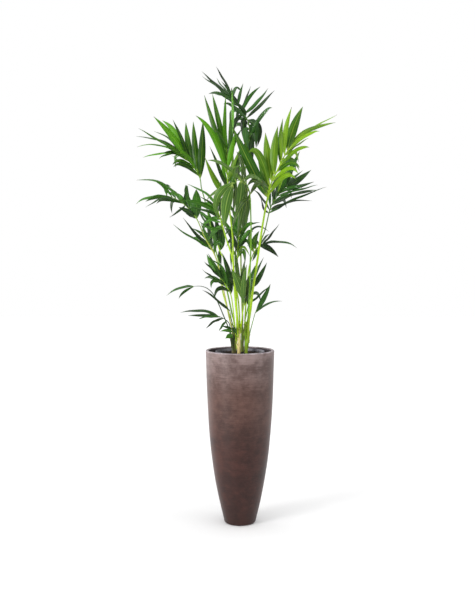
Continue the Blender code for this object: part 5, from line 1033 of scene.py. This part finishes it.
def swelling(f, l):
    """the small pad where a leaflet joins the rachis"""
    P, T = f.line.pos(l.s), f.line.tan(l.s)
    S, V = side_frame(P, T)
    c = P + S * l.side * frond_radius(f, l.s) * 0.80
    Pl, D, U, N, w, L, W = leaf_curve(f, l, 8)
    d = unit(Pl[1] - Pl[0])
    r = 0.0011 + frond_radius(f, l.s) * 0.35
    rings, uvs = [], []
    A = unit(np.cross(d, V)); B = np.cross(d, A)
    for k, (x, q) in enumerate(((-0.9, 0.45), (-0.3, 0.95), (0.5, 1.0), (1.4, 0.7), (2.4, 0.42))):
        rings.append([c + d * x * r + (math.cos(a) * A * 1.25 + math.sin(a) * B * 0.85) * r * q
                      for a in [2 * math.pi * j / 8 for j in range(8)]])
        uvs += [(l.s / f.line.L, j / 8) for j in range(8)]
    v, fc = rings_mesh(rings)
    return v, fc, uvs

def sheath(f, rank):
    """the foot of the stalk clasps the stem: a thin split cone, torn and fibrous at its top edge"""
    sx, sy, rf, rt, top = STEMS[f.stem]
    az = math.atan2(f.line.p[0][1] - sy * 0.01, f.line.p[0][0] - sx * 0.01)
    z0 = f.line.p[0][2]
    lo, hi = max(0.868, z0 - 0.050 - 0.012 * rank), z0 + 0.030
    n, m = 16, 22
    out, inn, uvs, torn = [], [], [], []
    V, F, UV, T_ = [], [], [], []
    rows = []
    for i in range(n + 1):
        k = i / n
        z = lo + (hi - lo) * k
        rs = (rf + (rt - rf) * max(0.0, z * 100 - 86.0) / (top - 86.0)) * 0.01
        half = math.radians(176 - 60 * k - 84 * max(0, (k - 0.62) / 0.38) ** 1.6)
        row = []
        for j in range(m + 1):
            q = -1 + 2 * j / m
            a = az + half * q
            tear = 0.004 * rnd_of(f.name, j // 2, 'tear') if i == n else 0.0
            gap = 0.0003 + 0.0003 * rank + 0.0012 * k * k
            keel = f.r0 * 1.9 * max(0.0, math.cos(min(abs(q) * half / 0.55, math.pi / 2))) * max(0, (k - 0.42) / 0.58) ** 1.3
            r = rs + gap + keel
            row.append((np.array([sx * 0.01 + r * math.cos(a), sy * 0.01 + r * math.sin(a), z + tear - 0.006 * abs(q) ** 3 * k]),
                        np.array([math.cos(a), math.sin(a), 0.0]), q, k))
        rows.append(row)
    cnt = (m + 1)
    for side_, th in ((0, 0.0009), (1, 0.0)):
        for row in rows:
            for p, nrm, q, k in row:
                V.append(p + nrm * th * (1 - abs(q) ** 6 * 0.7)); UV.append((k, (q + 1) / 2))
                T_.append(min(1.0, max(0.0, (abs(q) - 0.80) / 0.20) + max(0.0, (k - 0.86) / 0.14) * (0.3 + 0.7 * abs(q))))
    N_ = (n + 1) * cnt
    for i in range(n):
        for j in range(m):
            a = i * cnt + j
            F.append((a, a + 1, a + cnt + 1, a + cnt))
            b = N_ + a
            F.append((b, b + cnt, b + cnt + 1, b + 1))
    for i in range(n):                                    # close the two long edges
        a, b = i * cnt, (i + 1) * cnt
        F.append((a, b, b + N_, a + N_))
        a, b = i * cnt + m, (i + 1) * cnt + m
        F.append((a, a + N_, b + N_, b))
    for j in range(m):                                    # and the ends
        a, b = j, j + 1
        F.append((a, a + N_, b + N_, b))
        a, b = n * cnt + j, n * cnt + j + 1
        F.append((a, b, b + N_, a + N_))
    return V, F, UV, np.array(T_)

def fibre(p0, d0, length, bend, r):
    """a loose thread of a sheath's torn edge"""
    rings, uvs = [], []
    n, m = 7, 5
    d = unit(d0); p = np.array(p0, float)
    b = unit(bend - d * float(bend @ d))
    for i in range(n):
        A = unit(np.cross(d, b)); B = np.cross(d, A)
        rr = r * (1 - 0.75 * i / (n - 1))
        rings.append([p + rr * (math.cos(a) * A + math.sin(a) * B) for a in [2 * math.pi * j / m for j in range(m)]])
        uvs += [(i / n, j / m) for j in range(m)]
        p = p + d * (length / n)
        d = unit(d + b * 0.22)
    v, fc = rings_mesh(rings, tip=p)
    uvs.append((1.0, 0.5))
    return v, fc, uvs

def recalc(ob):
    bm = bmesh.new(); bm.from_mesh(ob.data)
    bmesh.ops.recalc_face_normals(bm, faces=bm.faces)
    bm.to_mesh(ob.data); bm.free()

fronds = build_fronds()
settle(fronds)
ranks = {}
for f in sorted(fronds, key=lambda f: -f.line.p[0][2]):
    ranks[f.name] = sum(1 for g in fronds if g.stem == f.stem and g.line.p[0][2] > f.line.p[0][2])
YOUNG = {('frond_right_mid', 5), ('frond_right_mid', 6), ('frond_centre_mid', 9), ('frond_centre_mid', 3),
         ('frond_left_upright', 0), ('frond_left_upright', 9), ('frond_left_upright', 10)}
for fi, f in enumerate(fronds):
    pile = Pile()
    v, fc, uv = stalk(f)
    pile.add(v, fc, 0, uv, leaf_rnd=0.5, leaf_under=0.0, leaf_tone=0.0, torn=0.0)
    for l in f.leaves:
        v, fc, uv, under, r1, rel = blade(f, l, fi)
        pile.add(v, fc, 3 if (f.name, l.k) in YOUNG else 1, uv, leaf_rnd=r1, leaf_under=under, leaf_tone=0.25 * rel - 0.12, torn=0.0)
        v, fc, uv = swelling(f, l)
        pile.add(v, fc, 0, uv, leaf_rnd=0.5, leaf_under=0.0, leaf_tone=0.0, torn=0.0)
    v, fc, uv, torn = sheath(f, ranks[f.name])
    pile.add(v, fc, 2, uv, leaf_rnd=0.5, leaf_under=0.0, leaf_tone=0.0, torn=torn)
    top_row = [v[16 * 23 + j] for j in range(23)]
    for q in range(7):                                     # threads along the torn top edge
        j = 1 + int(rnd_of(f.name, q, 'at') * 20)
        p = np.array(top_row[j])
        out = unit(np.array([p[0] - STEMS[f.stem][0] * 0.01, p[1] - STEMS[f.stem][1] * 0.01, 0.0]))
        side_ = np.cross(out, np.array([0, 0, 1.0])) * (1 if q % 2 else -1)
        v2, fc2, uv2 = fibre(p - np.array([0, 0, 0.002]), np.array([0, 0, 1.0]) + out * 0.5 * rnd_of(f.name, q, 'o'),
                             0.010 + 0.022 * rnd_of(f.name, q, 'l'), side_ + out * 0.6, 0.00035)
        pile.add(v2, fc2, 2, uv2, leaf_rnd=0.5, leaf_under=0.0, leaf_tone=0.0, torn=1.0)
    ob = pile.build(f.name + '_grown', [STALK[STALK_LOOK[f.name]], LEAF[f.tone], SHEATH[STEM_LOOK[f.stem]]] + ([LEAF['bright']] if any(n == f.name for n, k in YOUNG) else []), sharp=60)
    recalc(ob)
    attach(ob, 'root'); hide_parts(f.name)

# ================================================================ stems
for sname, (sx, sy, rf, rt, top) in STEMS.items():
    pile = Pile()
    rings, uvs, torn = [], [], []
    zs = np.linspace(0.846, top * 0.01, 46)
    m = 28
    for z in zs:
        k = max(0.0, (z * 100 - 86.0) / (top - 86.0))
        r = (rf + (rt - rf) * k) * 0.01
        ringk = 0.5 + 0.5 * math.cos(2 * math.pi * (z * 100 - rnd_of(sname, 'r') * 3) / 3.1)
        r *= 1 + 0.035 * ringk ** 8
        if z < 0.90: r *= 1 + 0.10 * (0.90 - z) / 0.05                        # swollen foot
        ring = []
        for j in range(m):
            a = 2 * math.pi * j / m
            rr = r * 0.97 * (1 + 0.025 * math.cos(3 * a + 5 * rnd_of(sname, 'p')) + 0.012 * math.cos(7 * a + z * 90))
            ring.append((sx * 0.01 + rr * math.cos(a), sy * 0.01 + rr * math.sin(a), z))
            uvs.append((z * 4, j / m)); torn.append(0.35 * ringk ** 12)
        rings.append(ring)
    tipz = top * 0.01
    last = rings[-1]
    cx, cy = sx * 0.01, sy * 0.01
    for q, dz in ((0.8, 0.002), (0.45, 0.0035)):
        rings.append([(cx + (p[0] - cx) * q, cy + (p[1] - cy) * q, tipz + dz) for p in last])
        uvs += [(tipz * 4, j / m) for j in range(m)]; torn += [0.3] * m
    v, fc = rings_mesh(rings, tip=(cx, cy, tipz + 0.004))
    uvs.append((tipz * 4, 0.5)); torn.append(0.3)
    pile.add(v, fc, 0, uvs, torn=np.array(torn))
    ob = pile.build(sname + '_grown', [SHEATH[STEM_LOOK[sname]]], sharp=60)
    recalc(ob)
    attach(ob, 'root'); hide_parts(sname)

# ================================================================ planter
r_edge = side_r(FOOT_EDGE)
prof = [(0.0, 0.0), (r_edge * 0.5, 0.0)]
prof += arc(r_edge - FOOT_EDGE, FOOT_EDGE, FOOT_EDGE, -90, 0, 10)
z_a, z_b = FOOT_EDGE + 0.004, PLANTER_H - 0.0052
prof += [(side_r(z_a + (z_b - z_a) * i / 90) + 0.0, z_a + (z_b - z_a) * i / 90) for i in range(91)]
ro, ri = RIM_R, RIM_R - LIP_W
prof += arc(ro - 0.0050, PLANTER_H - 0.0050, 0.0050, 12, 90, 8)
prof += arc(ri + 0.0042, PLANTER_H - 0.0042, 0.0042, 90, 180, 8)
prof += [(ri, PLANTER_H - 0.008), (ri, PLANTER_H - 0.014)]
prof += arc(ri + 0.0040, PLANTER_H - LIP_H + 0.0040 - 0.002, 0.0040, 180, 250, 5)
z_c, z_d = PLANTER_H - LIP_H - 0.008, FLOOR_T + 0.010
prof += [(side_r(z_c + (z_d - z_c) * i / 60) - WALL, z_c + (z_d - z_c) * i / 60) for i in range(61)]
r_floor = side_r(FLOOR_T) - WALL
prof += arc(r_floor - 0.008, FLOOR_T + 0.008, 0.008, 0, -90, 5)[1:] + [(r_floor * 0.5, FLOOR_T), (0.0, FLOOR_T)]
PLANTER_MAT = planter_material()
def uneven(r, z, a):
    """hand-finished wall: it is never quite true"""
    k = 0.00035 * math.sin(2 * a + 5 * z) + 0.00025 * math.sin(5 * a - 9 * z + 1.3) + 0.0002 * math.sin(3 * a + 23 * z)
    return (r + k * min(1.0, max(0.0, z / 0.05)) if z < PLANTER_H - 0.001 else r + k, z)
ob = lathe('planter_grown', prof, [PLANTER_MAT, planter_inner_material()], seg=192, wobble=uneven, sharp=50)
for face in ob.data.polygons:
    c, n = face.center, face.normal
    if FLOOR_T + 0.001 < c.z < PLANTER_H - 0.006 and n.x * c.x + n.y * c.y < -0.2 * math.hypot(c.x, c.y): face.material_index = 1
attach(ob, 'root'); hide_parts('planter')

# ================================================================ clay granules
def lump(pile, c, r, key, m, squash=0.8, n=2, rough=0.22, **attrs):
    """a small irregular stone"""
    bm = bmesh.new()
    bmesh.ops.create_icosphere(bm, subdivisions=n, radius=1.0)
    rr = random.Random(str(key))
    ph = [rr.uniform(0, 6.28) for _ in range(6)]
    ax = [rr.uniform(0.8, 1.2) for _ in range(3)]
    rot = rr.uniform(0, 6.28)
    V = []
    for v in bm.verts:
        p = np.array(v.co)
        k = 1 + rough * (math.sin(2.1 * p[0] + ph[0]) * math.sin(1.9 * p[1] + ph[1]) + 0.6 * math.sin(3.3 * p[2] + ph[2]) * math.sin(2.7 * p[0] + ph[3]))
        p = p * k * r * np.array(ax) * np.array((1, 1, squash))
        x, y = p[0] * math.cos(rot) - p[1] * math.sin(rot), p[0] * math.sin(rot) + p[1] * math.cos(rot)
        V.append(np.array((x, y, p[2])) + c)
    F = [tuple(v.index for v in f.verts) for f in bm.faces]
    bm.free()
    pile.add(V, F, m, [(0.5, 0.5)] * len(V), **attrs)

CLAY = soil_material('clay_granules_finish', lin(122, 78, 56), lin(150, 100, 74), lin(96, 60, 44), 1.0)
r_fill = side_r(FILL_TOP) - WALL - 0.0022
prof = [(0.0, FLOOR_T + 0.0006), (r_floor - 0.010, FLOOR_T + 0.0006), (side_r(FLOOR_T + 0.02) - WALL - 0.003, FLOOR_T + 0.012)]
prof += [(side_r(z) - WALL - 0.0016, z) for z in np.linspace(FLOOR_T + 0.03, FILL_TOP - 0.012, 24)]
prof += [(r_fill - 0.002, FILL_TOP - 0.005), (r_fill * 0.92, FILL_TOP - 0.003), (POT_R_BOTTOM + 0.012, FILL_TOP - 0.003),
         (POT_R_BOTTOM * 0.9, FILL_TOP - 0.0008), (0.0, FILL_TOP - 0.0008)]
base = lathe('clay_granule_fill_grown', prof, [CLAY], seg=96, sharp=40)
pile = Pile()
me = base.data
pile.add([tuple(v.co) for v in me.vertices], [tuple(p.vertices) for p in me.polygons], 0, [(0.5, 0.5)] * len(me.vertices), bit=0.0)
bpy.data.objects.remove(base, do_unlink=True)
g = random.Random('granules')
spots = []
while len(spots) < 420:
    a, q = g.uniform(0, 2 * math.pi), math.sqrt(g.uniform((POT_R_BOTTOM + 0.009) ** 2, (r_fill - 0.007) ** 2))
    x, y = q * math.cos(a), q * math.sin(a)
    if any((x - u) ** 2 + (y - v) ** 2 < 0.0075 ** 2 for u, v in spots): 
        if g.random() < 0.9: continue
    spots.append((x, y))
for k, (x, y) in enumerate(spots):
    r = g.uniform(0.0042, 0.0070)
    lump(pile, np.array((x, y, FILL_TOP + g.uniform(-0.002, 0.004))), r, ('clay', k), 0, squash=0.85, bit=g.random())
ob = pile.build('clay_granule_fill_grown', [CLAY])
recalc(ob)
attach(ob, 'root'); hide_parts('clay_granule_fill')

# ================================================================ nursery pot
z0 = FILL_TOP + GAP
def pot_r(z): return POT_R_BOTTOM + (POT_R_TOP - POT_R_BOTTOM) * (z - z0) / (POT_TOP - z0)
prof = [(0.0, z0 + 0.002), (POT_R_BOTTOM * 0.55, z0 + 0.002), (POT_R_BOTTOM * 0.62, z0)] + arc(POT_R_BOTTOM - 0.004, z0 + 0.004, 0.004, -90, 0, 5)
prof += [(pot_r(z), z) for z in np.linspace(z0 + 0.012, POT_TOP - 0.075, 14)]
prof += [(pot_r(POT_TOP - 0.072) + 0.0010, POT_TOP - 0.072), (pot_r(POT_TOP - 0.040) + 0.0010, POT_TOP - 0.040)]
prof += [(pot_r(POT_TOP - 0.020) + 0.0010, POT_TOP - 0.021)]
prof += arc(POT_R_TOP + POT_RIM - 0.0012, POT_TOP - 0.0180 + 0.0012, 0.0012, -90, 0, 3)
prof += arc(POT_R_TOP + POT_RIM - 0.0012, POT_TOP - 0.0012, 0.0012, 0, 90, 4)
prof += arc(POT_R_TOP - POT_WALL + 0.0012, POT_TOP - 0.0012, 0.0012, 90, 180, 4)
prof += [(pot_r(POT_TOP - 0.005) - POT_WALL, POT_TOP - 0.005), (pot_r(POT_TOP - 0.009) - POT_WALL, POT_TOP - 0.009),
         (pot_r(POT_TOP - 0.0100) - POT_WALL - 0.0006, POT_TOP - 0.0100), (pot_r(POT_TOP - 0.012) - POT_WALL - 0.0006, POT_TOP - 0.012)]
prof += [(pot_r(z) - POT_WALL, z) for z in np.linspace(POT_TOP - 0.014, z0 + 0.010, 12)]
prof += [(pot_r(z0 + 0.004) - POT_WALL - 0.003, z0 + POT_WALL + 0.001), (0.0, z0 + POT_WALL + 0.001)]
ob = lathe('nursery_pot_grown', prof, [plastic_material()], seg=144, sharp=35)
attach(ob, 'root'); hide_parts('nursery_pot')

# ================================================================ root ball
def soil_r(z):
    r0_, za = pot_r(z0 + 0.004) - POT_WALL, z0 + POT_WALL + 0.001
    r1_ = POT_R_TOP - POT_WALL
    return r0_ + (r1_ - r0_) * (z - za) / (POT_TOP - za) - 0.0010
SOIL = soil_material('potting_soil_finish', lin(20, 15, 12), lin(44, 34, 26), lin(72, 56, 42), 1.6)
BARK = soil_material('bark_finish', lin(58, 40, 28), lin(92, 66, 44), lin(120, 92, 64), 1.2)
PERLITE = soil_material('perlite_finish', lin(176, 172, 162), lin(214, 210, 202), lin(150, 140, 126), 1.0)
zb = z0 + POT_WALL + 0.001 + GAP
rings_n, seg = 46, 120
V, F = [(0.0, 0.0, zb)], []
rows = []
def ground(x, y):
    h = 0.0
    for k, (fr, am) in enumerate(((38, 0.0016), (83, 0.0011), (171, 0.0008), (330, 0.0005))):
        h += am * math.sin(fr * x + 1.7 * k + 0.6 * math.sin(fr * 0.7 * y)) * math.sin(fr * 0.93 * y + 2.3 * k + 0.5 * math.sin(fr * 0.8 * x))
    for sx, sy, rf, rt, top in STEMS.values():
        d = math.hypot(x - sx * 0.01, y - sy * 0.01)
        h += 0.0045 * math.exp(-(d / 0.016) ** 2)
    return h
def row_of(r, z):
    out = []
    for i in range(seg):
        a = 2 * math.pi * i / seg
        out.append(len(V)); V.append((r * math.cos(a), r * math.sin(a), z if z is not None else SOIL_TOP - 0.0015 + ground(r * math.cos(a), r * math.sin(a))))
    rows.append(out)
row_of(soil_r(zb) - 0.002, zb)
row_of(soil_r(zb + 0.02), zb + 0.02)
row_of(soil_r(SOIL_TOP - 0.03), SOIL_TOP - 0.03)
row_of(soil_r(SOIL_TOP - 0.006) - 0.0003, SOIL_TOP - 0.006)
for k in range(rings_n):
    row_of((soil_r(SOIL_TOP) - 0.0006) * (1 - k / rings_n), None)
for i in range(seg): F.append((0, rows[0][(i + 1) % seg], rows[0][i]))
for A, B in zip(rows, rows[1:]):
    for i in range(seg):
        j = (i + 1) % seg
        F.append((A[i], A[j], B[j], B[i]))
V.append((0, 0, SOIL_TOP - 0.0015 + ground(0, 0)))
for i in range(seg): F.append((rows[-1][i], rows[-1][(i + 1) % seg], len(V) - 1))
pile = Pile()
pile.add(V, F, 0, [(0.5, 0.5)] * len(V), bit=0.0)
g = random.Random('bits')
R_in = soil_r(SOIL_TOP) - 0.006
def clear_of_stems(x, y, m):
    return all(math.hypot(x - s[0] * 0.01, y - s[1] * 0.01) > s[2] * 0.01 * 1.15 + m for s in STEMS.values())
made = 0
while made < 340:
    a, q = g.uniform(0, 2 * math.pi), R_in * math.sqrt(g.random())
    x, y = q * math.cos(a), q * math.sin(a)
    kind = g.random()
    r = g.uniform(0.0010, 0.0036) if kind < 0.90 else g.uniform(0.0012, 0.0022)
    if not clear_of_stems(x, y, r): continue
    z = SOIL_TOP - 0.0015 + ground(x, y) + r * 0.25
    m = 2 if kind >= 0.92 else (1 if kind > 0.55 else 0)
    lump(pile, np.array((x, y, z)), r, ('bit', made), m, squash=0.5 if m == 1 else 0.8, n=1 if r < 0.002 else 2, rough=0.35, bit=g.random())
    made += 1
ob = pile.build('root_ball_grown', [SOIL, BARK, PERLITE], sharp=50)
recalc(ob)
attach(ob, 'root'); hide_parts('root_ball')

# ================================================================ studio
def floor_material():
    t = Tree('studio_floor')
    obj = t.coord('Object')
    n = t.noise(obj, 2.2, 3.0)
    n2 = t.noise(obj, 160.0, 2.0)
    col = t.mix(n, (0.93, 0.93, 0.935, 1.0), (0.96, 0.96, 0.96, 1.0))
    nrm = t.bump(n2, 0.05, 0.0005)
    p = t.principled(Base_Color=col, Roughness=t.math('ADD', 0.65, t.math('MULTIPLY', n2, 0.1)), Specular_IOR_Level=0.2, Normal=nrm)
    return t.done(p.outputs[0])
bm = bmesh.new()
bmesh.ops.create_grid(bm, x_segments=1, y_segments=1, size=14.0)
me = bpy.data.meshes.new('studio_floor'); bm.to_mesh(me); bm.free()
floor = bpy.data.objects.new('studio_floor', me)
floor.location = (0, 0, -0.0004)
me.materials.append(floor_material())
bpy.context.scene.collection.objects.link(floor)

scene = bpy.context.scene
world = bpy.data.worlds.new('studio')
scene.world = world
world.use_nodes = True
wn = world.node_tree
wn.nodes.clear()
w_out = wn.nodes.new('ShaderNodeOutputWorld')
w_mix = wn.nodes.new('ShaderNodeMixShader')
w_path = wn.nodes.new('ShaderNodeLightPath')
w_room, w_wall = wn.nodes.new('ShaderNodeBackground'), wn.nodes.new('ShaderNodeBackground')
w_room.inputs['Color'].default_value = (1.0, 1.0, 1.0, 1.0)
w_room.inputs['Strength'].default_value = 0.32              # what the dim studio lends to the shadows
w_wall.inputs['Color'].default_value = (1.0, 1.0, 1.0, 1.0)
w_wall.inputs['Strength'].default_value = 1.0               # the white backdrop itself
wn.links.new(w_path.outputs['Is Camera Ray'], w_mix.inputs[0])
wn.links.new(w_room.outputs[0], w_mix.inputs[1])
wn.links.new(w_wall.outputs[0], w_mix.inputs[2])
wn.links.new(w_mix.outputs[0], w_out.inputs['Surface'])

def soft_sun(name, frm, strength, spread, color=(1, 1, 1)):
    """a large far softbox: even over the whole floor"""
    from mathutils import Vector
    d = bpy.data.lights.new(name, 'SUN')
    d.energy, d.angle, d.color = strength, math.radians(spread), color
    o = bpy.data.objects.new(name, d)
    o.location = [c * 4 for c in frm]
    o.rotation_euler = (-Vector(frm)).to_track_quat('-Z', 'Y').to_euler()
    scene.collection.objects.link(o)
soft_sun('key_light', (-0.80, -0.60, 0.17), 2.9, 22)      # tall softbox on the left
soft_sun('fill_light', (0.94, -0.34, 0.12), 0.8, 18)      # and a narrower one on the right
soft_sun('edge_light', (-0.79, 0.62, 0.08), 0.9, 12)        # a strip behind it on the left
soft_sun('top_light', (0.05, -0.10, 1.0), 2.3, 100)       # the lit ceiling

scene.view_settings.view_transform = 'Standard'

cam = bpy.data.cameras.new('camera')
cam.sensor_width = 36.0
cam.lens = 49.008
co = bpy.data.objects.new('camera', cam)
co.location = (-0.0130, -4.2, 1.387)
co.rotation_euler = (math.radians(90 - 3.12), 0, 0)
scene.collection.objects.link(co)
scene.camera = co
